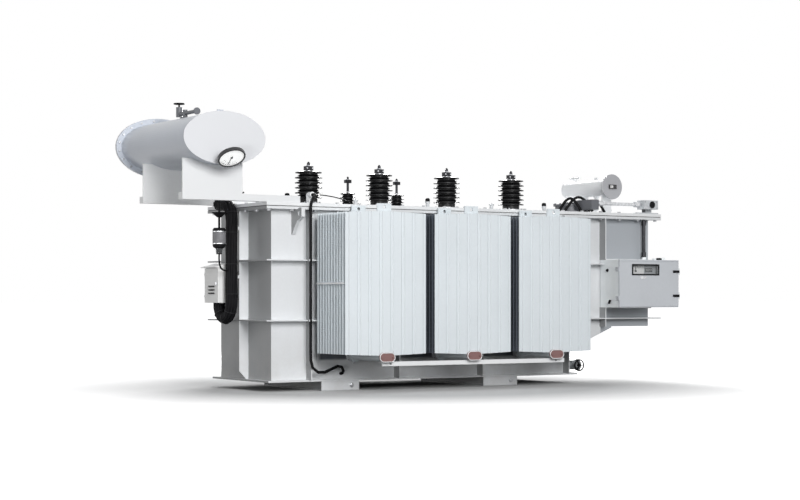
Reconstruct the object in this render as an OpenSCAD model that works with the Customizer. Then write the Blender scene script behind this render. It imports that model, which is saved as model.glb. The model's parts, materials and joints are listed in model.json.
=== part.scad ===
// Oil immersed power transformer with an on-load tap changer.
// X runs along the tank, -Y faces the three front radiators, Z is up.
// The origin is on the floor, at the centre of the four skid bolts.

/* [Tank] */
// Length of the lower tank
tank_l = 3370; // [3300:10:3450]
// Width of the tank between its long walls
tank_w = 1010; // [990:10:1040]
// Height of the tank from its floor plate to the underside of its rim
tank_h = 1550; // [1540:10:1600]
// Distance from the skid bolts' centre to the middle of the lower tank
tank_shift = 95; // [80:5:110]
// Thickness of the tank's walls
wall_t = 8; // [6:1:12]
// Thickness of the tank's floor plate
floor_t = 16; // [12:1:20]
// How far the floor plate stands out past the walls
floor_lip = 60; // [40:5:80]
// Length of the raised pocket that holds the tap changer
pocket_l = 1020; // [1000:10:1060]
// Height of the pocket's underside above the skids
pocket_rise = 476; // [440:10:500]
// How far the stiffeners and the rim stand out
stiff_d = 95; // [85:1:100]
// Thickness of the stiffener bars
stiff_t = 12; // [8:1:16]
// Height of the lower stiffener band above the floor
band_low = 642; // [620:5:660]
// Height of the upper stiffener band above the floor
band_high = 1190; // [1160:5:1210]
// Thickness of the tank's rim
rim_t = 25; // [20:1:30]
// Thickness of the cover's gasket
gasket_t = 6; // [4:1:8]
// Thickness of the cover
cover_t = 30; // [24:1:36]
// Bolts along each long side of the cover
bolts_long = 19; // [16:1:24]
// Bolts along each short side of the cover
bolts_short = 5; // [4:1:6]
// Radius of the bolts' shanks
bolt_r = 10; // [8:1:11]
// Radial clearance round a bolt
bolt_gap = 1; // [0.5:0.25:2]

/* [Skids] */
// Height of the two skids
skid_h = 84; // [76:2:100]
// Width of a skid's flanges
skid_w = 400; // [360:10:440]
// Length of a skid
skid_l = 1120; // [1060:10:1200]
// Distance between the skids' middles
skid_pitch = 1800; // [1700:10:1900]
// Thickness of a skid's flanges and webs
skid_t = 12; // [10:1:14]
// Depth of the recess beside a skid's web
skid_lip = 60; // [50:5:80]
// Distance between the two bolt holes of a skid
skid_bolt_y = 1000; // [940:10:1040]
// Radius of a skid's bolt holes
skid_bolt_r = 13; // [9:1:16]

/* [Core and windings] */
// Distance between the core's limbs
limb_pitch = 930; // [900:10:960]
// Diameter of a limb
limb_d = 260; // [220:10:270]
// Height of the core's yokes
yoke_h = 260; // [220:10:280]
// Height of the window between the yokes
window_h = 830; // [780:10:860]
// Outer radius of a high voltage winding
hv_coil_r = 420; // [400:5:440]
// Outer radius of a low voltage winding
lv_coil_r = 220; // [200:5:240]
// Radial depth of a low voltage winding
lv_coil_t = 62; // [50:1:64]
// Radial depth of a high voltage winding
hv_coil_t = 160; // [120:5:170]
// Thickness of the core's clamps
clamp_t = 40; // [30:2:50]

/* [Radiators] */
// Width of a radiator panel
panel_w = 850; // [820:5:880]
// How far the panels' upper corners lie above the upper headers' middle
panel_rise = 23; // [16:1:30]
// How far the panels' lower corners lie above the lower headers' middle
panel_foot = 30; // [20:1:34]
// How far a panel's end rises towards its middle
panel_peak = 14; // [0:1:20]
// Panels in one radiator
panel_count = 11; // [9:1:12]
// Flutes across a panel
flute_count = 7; // [5:1:9]
// Thickness of a panel at its seams
seam_t = 6; // [4:1:8]
// Height of a flute above the seam on each side
flute_h = 10; // [6:1:12]
// Width of the seam between two flutes
seam_w = 18; // [12:1:24]
// Distance between the middles of two radiators
radiator_pitch = 948; // [930:2:960]
// Middle of the second radiator, from the origin
radiator_x = 195; // [170:5:220]
// Distance from the tank's middle to the panels' inner edge
radiator_in = 612; // [606:2:620]
// Depth of a radiator's stack of panels
radiator_d = 522; // [480:2:560]
// Radius of a header pipe
header_r = 38; // [32:1:42]
// Distance of the upper headers' middle below the cover's top
header_drop = 121; // [119:1:131]
// Height of the lower header's axis
header_low = 313; // [300:1:330]
// Radius of the header's flange
header_flange_r = 56; // [50:1:57]

/* [Bushings] */
// Distance between two high voltage bushings
hv_pitch = 774; // [750:2:800]
// Place of the first high voltage bushing along X
hv_x = -1020; // [-1040:5:-1000]
// Place of the high voltage bushings along Y
hv_y = -174; // [-200:2:-150]
// Radius of the high voltage bushing's sheds
hv_shed_r = 128; // [115:1:135]
// Radius of the high voltage bushing's core
hv_core_r = 84; // [70:1:95]
// Distance between two sheds of a high voltage bushing
hv_shed_pitch = 47; // [42:1:50]
// Sheds on a high voltage bushing
hv_sheds = 5; // [4:1:6]
// Distance between two low voltage bushings
lv_pitch = 560; // [540:5:580]
// Place of the first low voltage bushing along X
lv_x = -360; // [-380:5:-340]
// Place of the low voltage bushings along Y
lv_y = 226; // [200:2:250]
// Radius of the low voltage bushing's sheds
lv_shed_r = 74; // [64:1:84]
// Radius of the low voltage bushing's core
lv_core_r = 46; // [40:1:56]
// Distance between two sheds of a low voltage bushing
lv_shed_pitch = 33; // [28:1:38]
// Sheds on a low voltage bushing
lv_sheds = 3; // [2:1:4]

/* [Conservator] */
// Half of the drum's width
drum_a = 390; // [370:5:410]
// Half of the drum's height
drum_b = 228; // [210:2:240]
// Length of the drum
drum_l = 1370; // [1300:10:1420]
// Distance of the drum's middle beyond the tank's left end
drum_out = 585; // [560:5:610]
// Place of the drum's front end along Y
drum_y = -750; // [-770:5:-730]
// Height of the drum's middle above the cover's top
drum_rise = 537; // [519:2:569]
// Thickness of the drum's shell
drum_t = 6; // [5:1:8]
// Thickness of the drum's end plates
drum_end_t = 14; // [10:1:18]
// How far the rear flange stands out of the shell
drum_flange = 50; // [44:1:56]
// Bolts on the rear flange
drum_bolts = 20; // [16:1:24]
// Radius of the level gauge
gauge_r = 122; // [110:1:130]
// Tilt of the level gauge below the horizontal
gauge_tilt = 55; // [50:1:60]

/* [Tap changer] */
// Radius of the tap changer's oil vessel
vessel_r = 150; // [130:5:170]
// Distance of the tap changer beyond the lower tank's right end
changer_out = 250; // [230:5:270]
// Place of the tap changer along Y
changer_y = -190; // [-210:5:-170]
// Radius of the small conservator's shell
small_r = 88; // [80:1:96]
// Length of the small conservator
small_l = 740; // [700:10:780]
// Radius of a drive shaft
shaft_r = 17; // [12:1:20]
// Radial clearance of a running shaft
run_gap = 0.05; // [0.02:0.01:0.1]
// Width of the motor drive's box
motor_w = 773; // [740:5:800]
// Depth of the motor drive's box
motor_d = 306; // [280:2:330]
// Height of the motor drive's box
motor_h = 480; // [450:5:500]
// Height of the box's underside above the floor
motor_z = 753; // [740:1:770]
// Thickness of the sheet of the boxes
sheet_t = 3; // [2:0.5:4]

/* [Control cabinet] */
// Width of the control cabinet
cabinet_w = 275; // [255:5:290]
// Depth of the control cabinet
cabinet_d = 112; // [100:2:130]
// Height of the control cabinet
cabinet_h = 322; // [300:2:350]
// Height of the cabinet's underside above the floor
cabinet_z = 803; // [790:1:820]

/* [Hidden] */
$fn = 48;

tank_x0 = tank_shift - tank_l / 2;
tank_x1 = tank_x0 + tank_l;
pocket_x1 = tank_x1 + pocket_l;
drum_x = tank_x0 - drum_out;
changer_x = tank_x1 + changer_out;
pocket_z = skid_h + pocket_rise;
wall_y = tank_w / 2;
rim_z = skid_h + floor_t + tank_h;
gasket_z = rim_z + rim_t;
cover_z = gasket_z + gasket_t;
deck_z = cover_z + cover_t;
drum_z = deck_z + drum_rise;
edge_y = wall_y + stiff_d;
edge_x0 = tank_x0 - stiff_d;
edge_x1 = pocket_x1 + stiff_d;
bolt_in = 45;
head_r = bolt_r * 1.8;
touch_gap = 0.3;

// Ribs on the long walls stand in the gaps between the radiators
rib_xs = [radiator_x - 1.5 * radiator_pitch + 3, radiator_x - radiator_pitch / 2,
    radiator_x + radiator_pitch / 2, tank_x1 - 70];
motor_rib_x = pocket_x1 - 627;
end_rib_y = -53;
foot_notch = 75;

// Motor drive box
motor_back = -wall_y - 15;
motor_front = motor_back - motor_d;
motor_x1 = pocket_x1 + 140;
motor_x0 = motor_x1 - motor_w;
motor_top = motor_z + motor_h;
door_t = 20;
door_gap = 0.5;
shelf_t = 10;
hinge_r = 10;
hinge_pin_r = 4;
hinge_x = motor_x1 + 6;
hinge_y = motor_front + hinge_r;
hinge_zs = [motor_z + 118, motor_z + 364];
knuckle_h = 22;
window_x0 = motor_x0 + 171;
window_w = 324;
window_z0 = motor_z + 338;
window_h2 = 84;
pointer_x = window_x0 + 80;
pointer_z = window_z0 + 30;

// Drive shafts
shaft_x = pocket_x1 - 100;
shaft_y = -edge_y + 40;
gear_z = deck_z + 92;
gear_w = 182;
gear_h = 92;
arm_w = 90;

// Small conservator
small_x = changer_x + 345;
small_y0 = -450;
small_z = deck_z + 273;
small_flange_r = 128;

// Control cabinet
cabinet_x0 = edge_x0 - 55 - cabinet_d;
cabinet_y0 = 45;

// Conservator
drum_y1 = drum_y + drum_l;
beam_h = 60;
beam_w = 80;
beam_x0 = drum_x - 335;
beam_x1 = tank_x0 + 250;
saddle_x0 = drum_x - 335;
saddle_x1 = drum_x + 250;
saddle_top = drum_z - 178;
support_ys = [-edge_y + 6, 240];
saddle_t = 12;
gauge_c = [drum_x + 14, drum_y - 104, drum_z - 188];
gauge_len = 30;
float_y = drum_y + 60;
float_arm = 330;
float_r = 42;

// Headers
panel_t = seam_t + 2 * flute_h;
panel_step = (radiator_d - panel_t) / (panel_count - 1);
radiator_out = radiator_in + radiator_d;
valve_l = 70;
valve_flange_t = 15;
header_top = deck_z - header_drop;
header_zs = [header_low, header_top];
panel_z = header_low + panel_foot;
panel_top = header_top + panel_rise;
radiator_xs = [for (i = [-1:1]) radiator_x + i * radiator_pitch];
cap_r = 45;
cap_half = 38;

// Places of the cover's bolts, as pairs of X and Y
cover_bolts = concat(
    [for (i = [0:bolts_long], s = [-1, 1])
        [edge_x0 + bolt_in + i * (edge_x1 - edge_x0 - 2 * bolt_in) / bolts_long, s * (edge_y - bolt_in)]],
    [for (j = [1:bolts_short - 1], x = [edge_x0 + bolt_in, edge_x1 - bolt_in])
        [x, -edge_y + bolt_in + j * (2 * edge_y - 2 * bolt_in) / bolts_short]]);

// Colours
white = [0.93, 0.94, 0.95];
pale = [0.86, 0.88, 0.9];
grey = [0.65, 0.67, 0.7];
black = [0.09, 0.09, 0.1];
steel = [0.75, 0.76, 0.78];
copper = [0.72, 0.42, 0.25];
paper = [0.72, 0.6, 0.42];
brown = [0.62, 0.4, 0.38];
clear = [0.75, 0.82, 0.86, 0.5];

// Cables, points chosen by hand along their real route
trunk_r = 50;
trunk_x = tank_x0 - 160;
trunk_y = -30;
trunk_path = [[trunk_x, 240, 1717], [trunk_x, 185, 1717], [trunk_x, 120, 1713], [trunk_x, 50, 1698],
    [trunk_x, -8, 1652], [trunk_x, -30, 1580], [trunk_x, -30, 1480], [trunk_x, -30, 1320],
    [trunk_x, -30, 1160], [trunk_x, -30, 1000], [trunk_x, -30, 860], [trunk_x, -22, 770],
    [trunk_x - 2, 2, 705], [trunk_x - 6, 50, 668], [trunk_x - 12, 105, 665], [trunk_x - 18, 150, 695],
    [trunk_x - 22, 175, 745], [trunk_x - 22, 175, 802.5]];
cable_r = 14;
elbow_x = tank_x0 + 490;
elbow_y = -330;
elbow_z = 1800;
elbow_r = 28;
elbow_l = 60;
elbow_foot_t = 14;
cable_x = tank_x0 + 344;
cable_y = -620;
cable_path = [[elbow_x, elbow_y - elbow_l - touch_gap, elbow_z], [elbow_x, -430, elbow_z],
    [cable_x + 124, -487, 1797], [cable_x + 86, -545, 1785],
    [cable_x + 41, -592, 1760], [cable_x + 10, -618, 1722], [cable_x, -620, 1670], [cable_x, -620, 1480],
    [cable_x, -620, 1320], [cable_x, -620, 1160], [cable_x, -620, 1000], [cable_x, -620, 840],
    [cable_x, -620, 680], [cable_x, -620, 520], [cable_x, -620, 380], [cable_x + 2, -620, 280],
    [cable_x + 21, -620, 215], [cable_x + 76, -618, 172], [cable_x + 151, -612, 170],
        [cable_x + 226, -602, 196],
    [cable_x + 296, -590, 222], [cable_x + 351, -575, 214], [cable_x + 378, -560, 176],
        [cable_x + 378, -540, 156], [cable_x + 378, -520, 152],
    [cable_x + 378, -505.5, 152]];

// General shapes
module block(lo, hi) translate(lo) cube(hi - lo);
module rod_x(x0, x1, y, z, r) translate([x0, y, z]) rotate([0, 90, 0]) cylinder(h = x1 - x0, r = r);
module rod_y(y0, y1, x, z, r) translate([x, y1, z]) rotate([90, 0, 0]) cylinder(h = y1 - y0, r = r);
module rod_z(z0, z1, x, y, r) translate([x, y, z0]) cylinder(h = z1 - z0, r = r);
module along_y(y0, y1) translate([0, y1, 0]) rotate([90, 0, 0]) linear_extrude(y1 - y0) children();
module along_x(x0, x1) translate([x0, 0, 0]) rotate([90, 0, 90]) linear_extrude(x1 - x0) children();
function oval(a, b, n = 72) = [for (i = [0:n - 1]) [a * cos(360 * i / n), b * sin(360 * i / n)]];

// A tube of round section swept along a route, with rings turned to face along it
function unit(v) = v / norm(v);
function ring_dir(p, i) = unit(p[min(i + 1, len(p) - 1)] - p[max(i - 1, 0)]);
function ring_side(d) = unit(cross(d, abs(d.y) < 0.8 ? [0, 1, 0] : [1, 0, 0]));
function ring_sides(p, i = 0, last = undef, out = []) = i == len(p) ? out :
    let (d = ring_dir(p, i))
    let (s = last == undef ? ring_side(d) : unit(last - d * (last * d)))
    ring_sides(p, i + 1, s, concat(out, [s]));
module swept_tube(p, r, sides = 10) {
    side = ring_sides(p);
    points = [for (i = [0:len(p) - 1], k = [0:sides - 1])
        let (d = ring_dir(p, i), u = side[i], v = cross(d, u), a = 360 * k / sides)
        p[i] + r * (cos(a) * u + sin(a) * v)];
    walls = [for (i = [0:len(p) - 2], k = [0:sides - 1])
        let (n = (k + 1) % sides)
        [i * sides + k, (i + 1) * sides + k, (i + 1) * sides + n, i * sides + n]];
    first = [for (k = [0:sides - 1]) k];
    last = [for (k = [sides - 1:-1:0]) (len(p) - 1) * sides + k];
    polyhedron(points = points, faces = concat(walls, [first, last]), convexity = 10);
}

// Tank
function tank_side(t) = [[tank_x0 + t, skid_h + floor_t], [tank_x1 - t, skid_h + floor_t],
    [tank_x1 - t, pocket_z + t], [pocket_x1 - t, pocket_z + t], [pocket_x1 - t, gasket_z + (t > 0 ? 1 : 0)],
    [tank_x0 + t, gasket_z + (t > 0 ? 1 : 0)]];
module band(z) difference() {
    block([edge_x0, -edge_y, z - stiff_t / 2], [edge_x1, edge_y, z + stiff_t / 2]);
    block([tank_x0 + 1, -wall_y + 1, z - stiff_t], [pocket_x1 - 1, wall_y - 1, z + stiff_t]);
}
module long_rib(x, z0) for (s = [-1, 1])
    block([x - stiff_t / 2, s > 0 ? wall_y - 1 : -edge_y, z0],
        [x + stiff_t / 2, s > 0 ? edge_y : -wall_y + 1, rim_z + 1]);
module end_rib() translate([0, end_rib_y + stiff_t / 2, 0]) rotate([90, 0, 0]) linear_extrude(stiff_t)
    polygon([[tank_x0 + 1, skid_h + floor_t - 1], [tank_x0 - 20, skid_h + floor_t - 1],
        [edge_x0, skid_h + floor_t + foot_notch], [edge_x0, rim_z + 1], [tank_x0 + 1, rim_z + 1]]);
module gusset(y) translate([0, y + stiff_t / 2, 0]) rotate([90, 0, 0]) linear_extrude(stiff_t)
    polygon([[tank_x1 - 1, pocket_z + 1], [tank_x1 + 540, pocket_z + 1], [tank_x1 + 540, pocket_z - 12],
        [tank_x1 - 1, pocket_z - 235]]);
module motor_shelf(z, x1) block([motor_x0, motor_back - 85, z], [x1, -wall_y + 1, z + shelf_t]);
module nut_room() for (b = cover_bolts) rod_z(rim_z - 2 * bolt_r, rim_z, b.x, b.y, head_r + 3);
module head_room() for (b = cover_bolts) rod_z(deck_z - 1, deck_z + 2 * bolt_r, b.x, b.y, head_r + 3);
module cable_clip(z) difference() {
    block([cable_x - cable_r - 6, -edge_y - 2 * cable_r, z - 9], [cable_x + cable_r + 6, -edge_y, z + 9]);
    rod_z(z - 10, z + 10, cable_x, cable_y, cable_r + touch_gap);
}
module trunk_clip(z) block([trunk_x + trunk_r + touch_gap, trunk_y - 30, z - 15],
    [edge_x0 + 1, trunk_y + 30, z + 15]);
module tank() color(pale) {
    difference() {
        union() {
            block([tank_x0 - floor_lip, -wall_y - floor_lip, skid_h],
                [tank_x1 + floor_lip, wall_y + floor_lip, skid_h + floor_t + 1]);
            along_y(-wall_y, wall_y) polygon(tank_side(0));
            block([edge_x0, -edge_y, rim_z], [edge_x1, edge_y, gasket_z]);
            band(band_low);
            band(band_high);
            for (x = rib_xs) long_rib(x, skid_h + floor_t);
            long_rib(motor_rib_x, pocket_z);
            end_rib();
            for (y = [-wall_y + stiff_t / 2, wall_y - stiff_t / 2]) gusset(y);
        }
        along_y(-wall_y + wall_t, wall_y - wall_t) polygon(tank_side(wall_t));
        block([motor_x0 - 12, -edge_y - 1, motor_z - shelf_t], [edge_x1 + 1, -wall_y, motor_top + shelf_t]);
        for (b = cover_bolts) rod_z(rim_z - 1, gasket_z + 1, b.x, b.y, bolt_r + bolt_gap);
        nut_room();
        rod_z(rim_z - 1, gasket_z + 1, shaft_x, shaft_y, shaft_r + 8);
    }
    for (z = [band_low, band_high]) cable_clip(z);
    for (z = [band_low + 400, band_high + 300]) trunk_clip(z);
    motor_shelf(motor_z - shelf_t, motor_x1 - 180);
    difference() {
        motor_shelf(motor_top, motor_x1 - 300);
        rod_z(motor_top - 1, motor_top + shelf_t + 1, shaft_x, shaft_y, shaft_r + 8);
    }
}

module skid(x, out) difference() {
    union() {
        for (z = [0, skid_h - skid_t])
            block([x - skid_w / 2, -skid_l / 2, z], [x + skid_w / 2, skid_l / 2, z + skid_t]);
        for (s = [-1, 1])
            translate([x + s * (skid_w / 2 - skid_lip) - skid_t / 2, -skid_l / 2, 0])
                cube([skid_t, skid_l, skid_h]);
        for (y = [-skid_l / 2, skid_l / 2 - skid_t])
            block([x - skid_w / 2, y, 0], [x + skid_w / 2, y + skid_t, skid_h]);
    }
    for (y = [-skid_bolt_y / 2, skid_bolt_y / 2])
        rod_z(-1, skid_t + 1, x + out * (skid_w / 2 - skid_lip / 2), y, skid_bolt_r);
}
module skids() color(grey) for (s = [-1, 1]) skid(s * skid_pitch / 2, s);

// Cover, its gasket and the bolts of both flanges
module bushing_hole(x, y, r) rod_z(cover_z - 1, deck_z + 1, x, y, r);
module cover() color(white) difference() {
    block([edge_x0, -edge_y, cover_z], [edge_x1, edge_y, deck_z]);
    for (b = cover_bolts) bushing_hole(b.x, b.y, bolt_r + bolt_gap);
    for (i = [0:3]) bushing_hole(hv_x + i * hv_pitch, hv_y, hv_core_r - 20);
    for (i = [0:2]) bushing_hole(lv_x + i * lv_pitch, lv_y, lv_core_r - 12);
    bushing_hole(changer_x, changer_y, vessel_r + 2);
    bushing_hole(shaft_x, shaft_y, shaft_r + 8);
}
module cover_gasket() color(black) difference() {
    block([edge_x0 + 4, -edge_y + 4, gasket_z], [edge_x1 - 4, edge_y - 4, cover_z]);
    block([tank_x0 + wall_t, -wall_y + wall_t, gasket_z - 1],
        [pocket_x1 - wall_t, wall_y - wall_t, cover_z + 1]);
    for (b = cover_bolts) rod_z(gasket_z - 1, cover_z + 1, b.x, b.y, bolt_r + bolt_gap);
    rod_z(gasket_z - 1, cover_z + 1, shaft_x, shaft_y, shaft_r + 8);
}
module bolt(l) {
    cylinder(h = l, r = bolt_r);
    translate([0, 0, l]) cylinder(h = bolt_r * 1.3, r = head_r, $fn = 6);
    translate([0, 0, -bolt_r * 1.6]) cylinder(h = bolt_r * 1.6, r = head_r, $fn = 6);
}
function drum_bolt(i) = let (a = 360 * (i + 0.5) / drum_bolts)
    [drum_x + (drum_a + drum_flange / 2) * cos(a), drum_z + (drum_b + drum_flange / 2) * sin(a)];
module flange_bolts() color(steel) {
    for (b = cover_bolts) translate([b.x, b.y, rim_z]) bolt(deck_z - rim_z);
    for (i = [0:drum_bolts - 1]) translate([drum_bolt(i)[0], drum_y1 - drum_end_t, drum_bolt(i)[1]])
        rotate([-90, 0, 0]) scale(0.6) bolt(2 * drum_end_t / 0.6);
}

// Lifting lugs, welded to the long walls under the rim
lug_t = 36;
lug_xs = [tank_x0 + 225, tank_x1 - 180];
lug_reach = 190;
lug_eye_r = 24;
module lug(x) difference() {
    along_x(x - lug_t / 2, x + lug_t / 2) lug_side();
    nut_room();
}
module lug_side() difference() {
    polygon([[-wall_y, rim_z - 2], [-wall_y, rim_z - 225], [-wall_y - 15, rim_z - 225],
        [-wall_y - 60, rim_z - 160],
        [-wall_y - 110, rim_z - 105], [-wall_y - lug_reach, rim_z - 70], [-wall_y - lug_reach, rim_z + 12],
        [-wall_y - lug_reach + 40, rim_z + 14], [-wall_y - stiff_d - 8, rim_z - 2]]);
    translate([-wall_y - lug_reach + 42, rim_z - 36]) circle(r = lug_eye_r);
}
module lifting_lugs() color(white) for (x = lug_xs) {
    lug(x);
    mirror([0, 1, 0]) lug(x);
}

// Core, its clamps and the windings
limb_xs = [for (i = [-1:1]) tank_shift + i * limb_pitch];
core_z = skid_h + floor_t + 50;
window_z = core_z + yoke_h;
steps = [[1, 0.55], [0.85, 0.78], [0.6, 0.95]];
module core() color(grey) {
    for (x = limb_xs, s = steps)
        block([x - s[0] * limb_d / 2, -s[1] * limb_d / 2, core_z],
            [x + s[0] * limb_d / 2, s[1] * limb_d / 2, window_z + window_h + yoke_h]);
    for (z = [core_z, window_z + window_h], s = steps)
        block([limb_xs[0] - limb_d / 2, -s[1] * limb_d / 2, z + (1 - s[0]) * yoke_h / 2],
            [limb_xs[2] + limb_d / 2, s[1] * limb_d / 2, z + (1 + s[0]) * yoke_h / 2]);
}
clamp_y = 0.95 * limb_d / 2;
clamp_reach = limb_pitch + hv_coil_r + 60;
module core_clamps() color(steel) for (s = [-1, 1]) {
    y0 = s > 0 ? clamp_y : -clamp_y - clamp_t;
    block([tank_shift - clamp_reach, y0, skid_h + floor_t],
        [tank_shift + clamp_reach, y0 + clamp_t, window_z - 30]);
    block([tank_shift - clamp_reach, y0, window_z + window_h + 30],
        [tank_shift + clamp_reach, y0 + clamp_t, window_z + window_h + yoke_h]);
    for (x = [tank_shift - clamp_reach + 30, tank_shift + clamp_reach - 30])
        rod_z(window_z - 31, window_z + window_h + 31, x, y0 + clamp_t / 2, clamp_t / 2 - 4);
}
module winding(x, r, t) difference() {
    rod_z(window_z, window_z + window_h, x, 0, r);
    rod_z(window_z - 1, window_z + window_h + 1, x, 0, r - t);
}
module lv_windings() color(copper) for (x = limb_xs) winding(x, lv_coil_r, lv_coil_t);
module hv_windings() color(paper) for (x = limb_xs) winding(x, hv_coil_r, hv_coil_t);

// Tap changer: its oil vessel hangs in the pocket from the head on the cover
module tap_changer_vessel() color(paper) difference() {
    rod_z(pocket_z + 150, deck_z, changer_x, changer_y, vessel_r);
    rod_z(pocket_z + 165, deck_z + 1, changer_x, changer_y, vessel_r - 12);
}
small_pipe_r = 20;
port_x = changer_x + vessel_r + 46;
port_z = deck_z + 49;
module tap_changer_head() color(grey) {
    rod_z(deck_z, deck_z + 24, changer_x, changer_y, vessel_r + 40);
    rod_z(deck_z + 24, deck_z + 74, changer_x, changer_y, vessel_r);
    rod_z(deck_z + 74, deck_z + 92, changer_x, changer_y, vessel_r + 18);
    for (i = [0:11]) translate([changer_x, changer_y, 0]) rotate(30 * i + 15)
        translate([vessel_r + 8, 0, deck_z + 92]) cylinder(h = 10, r = 11, $fn = 6);
    rod_z(deck_z + 92, deck_z + 112, changer_x, changer_y, 62);
    rod_x(changer_x, port_x - 12, changer_y, port_z, small_pipe_r);
    rod_x(port_x - 12, port_x, changer_y, port_z, small_pipe_r + 18);
    difference() {
        block([changer_x - arm_w / 2, shaft_y - 50, deck_z + 26],
            [changer_x + arm_w / 2, changer_y - vessel_r + 20, gear_z + 34]);
        rod_x(changer_x, changer_x + arm_w, shaft_y, gear_z, shaft_r + run_gap);
    }
}

// Radiators: fluted panels round an upper and a lower header pipe
function flutes(s) = [for (i = [0:flute_count - 1], k = [0:3])
    let (pitch = (panel_w - 40) / flute_count, x0 = -panel_w / 2 + 20 + i * pitch)
    [x0 + [seam_w / 2, seam_w / 2 + flute_h, pitch - seam_w / 2 - flute_h, pitch - seam_w / 2][k],
        s * (seam_t / 2 + [0, flute_h, flute_h, 0][k])]];
function reversed(v) = [for (i = [len(v) - 1:-1:0]) v[i]];
panel_section = concat([[-panel_w / 2, -seam_t / 2]], flutes(-1),
    [[panel_w / 2, -seam_t / 2], [panel_w / 2, seam_t / 2]],
    reversed(flutes(1)), [[-panel_w / 2, seam_t / 2]]);
module panel_front() polygon([[-panel_w / 2, panel_z], [-60, panel_z - panel_peak],
    [60, panel_z - panel_peak],
    [panel_w / 2, panel_z], [panel_w / 2, panel_top], [60, panel_top + panel_peak],
        [-60, panel_top + panel_peak],
    [-panel_w / 2, panel_top]]);
module radiator(i) {
    side = i < 3 ? -1 : 1;
    color(pale) translate([radiator_xs[i % 3], 0, 0]) mirror([0, side < 0 ? 1 : 0, 0]) {
        intersection() {
            for (k = [0:panel_count - 1])
                translate([0, radiator_in + panel_t / 2 + k * panel_step, panel_z - 30])
                    linear_extrude(panel_top - panel_z + 60)
                    polygon(panel_section);
            along_y(radiator_in - 1, radiator_out + 1) panel_front();
        }
        for (z = header_zs) {
            rod_y(wall_y + valve_l, radiator_out - 1, 0, z, header_r);
            rod_y(wall_y + valve_l, wall_y + valve_l + valve_flange_t, 0, z, header_flange_r);
        }
        rod_y(radiator_out - 2, radiator_out + 4, 0, header_low, header_r);
        for (y = [radiator_in + 20, radiator_out - 52]) difference() {
            block([-74, y, header_top + header_r - 6], [74, y + 12, deck_z - 12]);
            rod_y(y - 1, y + 13, 0, deck_z - 44, 16);
        }
    }
}
module radiator_valves() color(grey) for (x = radiator_xs, z = header_zs, s = [0, 1])
    mirror([0, s, 0]) difference() {
        union() {
            rod_y(wall_y, wall_y + valve_flange_t, x, z, header_flange_r);
            rod_y(wall_y + valve_flange_t - 1, wall_y + valve_l - valve_flange_t + 1, x, z,
                header_flange_r - 10);
            rod_y(wall_y + valve_l - valve_flange_t, wall_y + valve_l, x, z, header_flange_r);
            rod_z(z - header_flange_r - 12, z, x, wall_y + valve_l / 2, 10);
        }
        rod_y(wall_y - 1, wall_y + valve_l + 1, x, z, header_r - 4);
    }
module cap_plate(x, y0, y1) {
    for (s = [-1, 1]) rod_y(y0, y1, x + s * cap_half, header_low, cap_r);
    block([x - cap_half, y0, header_low - cap_r], [x + cap_half, y1, header_low + cap_r]);
}
module radiator_caps() color(brown) for (x = radiator_xs, s = [0, 1]) mirror([0, s, 0]) {
    cap_plate(x, radiator_out + 4, radiator_out + 16);
    for (k = [-1, 1]) rod_y(radiator_out + 16, radiator_out + 24, x + k * (cap_half + 20), header_low, 10);
}
tie_z = (panel_z + panel_top) / 2;
module radiator_tie_bars() color(white) for (s = [0, 1]) mirror([0, s, 0]) {
    block([radiator_xs[0] - panel_w / 2 - 6, radiator_in, tie_z - 7],
        [radiator_xs[0] - panel_w / 2, radiator_out - panel_t, tie_z + 7]);
    block([radiator_xs[2] + panel_w / 2, radiator_in, tie_z - 7],
        [radiator_xs[2] + panel_w / 2 + 6, radiator_out - panel_t, tie_z + 7]);
}
rail_h = 40;
rail_top = header_low - header_r - 2;
module radiator_bottom_rail() color(white) for (s = [0, 1]) mirror([0, s, 0]) difference() {
    union() {
        block([radiator_xs[0] - 30, radiator_out - 40, rail_top - rail_h],
            [radiator_xs[2] + 120, radiator_out - 28, rail_top]);
        block([radiator_xs[0] - 30, radiator_out - 100, rail_top - 8],
            [radiator_xs[2] + 120, radiator_out - 29, rail_top]);
        for (x = radiator_xs) block([x - 24, radiator_out - 90, rail_top - 1],
            [x + 24, radiator_out - 60, header_low - header_r + 1]);
    }
    for (x = radiator_xs) rod_y(radiator_out - 91, radiator_out - 27, x, header_low, header_r);
    for (x = [radiator_xs[0] + 60, radiator_xs[2] + 20])
        rod_y(radiator_out - 41, radiator_out - 27, x, rail_top - rail_h / 2, 9);
}

// Bushings: shedded insulators turned as one piece
function sheds(core, shed, pitch, count, z0) = [for (i = [0:count - 1], k = [0:5])
    let (z = z0 + i * pitch, small = core + (shed - core) * 0.45)
    [[core, z], [shed, z + pitch * 0.1], [shed, z + pitch * 0.26], [core, z + pitch * 0.52],
        [small, z + pitch * 0.66], [core, z + pitch * 0.86]][k]];
function insulator(core, shed, pitch, count,
    foot) = concat([[0, 0], [core + 14, 0], [core + 14, 14], [core, 26]],
    sheds(core, shed, pitch, count, foot),
        [[core, foot + count * pitch], [shed - 4, foot + count * pitch + 6],
        [shed - 4, foot + count * pitch + 14], [core * 0.55, foot + count * pitch + 26],
            [0, foot + count * pitch + 26]]);
hv_foot = 62;
lv_foot = 40;
hv_top = deck_z + hv_foot + hv_sheds * hv_shed_pitch + 26;
lv_top = deck_z + lv_foot + lv_sheds * lv_shed_pitch + 26;
module hv_bushing(i) color(black) translate([hv_x + (i - 1) * hv_pitch, hv_y, deck_z])
    rotate_extrude() polygon(insulator(hv_core_r, hv_shed_r, hv_shed_pitch, hv_sheds, hv_foot));
module lv_bushing(i) color(black) translate([lv_x + (i - 1) * lv_pitch, lv_y, deck_z])
    rotate_extrude() polygon(insulator(lv_core_r, lv_shed_r, lv_shed_pitch, lv_sheds, lv_foot));
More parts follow.
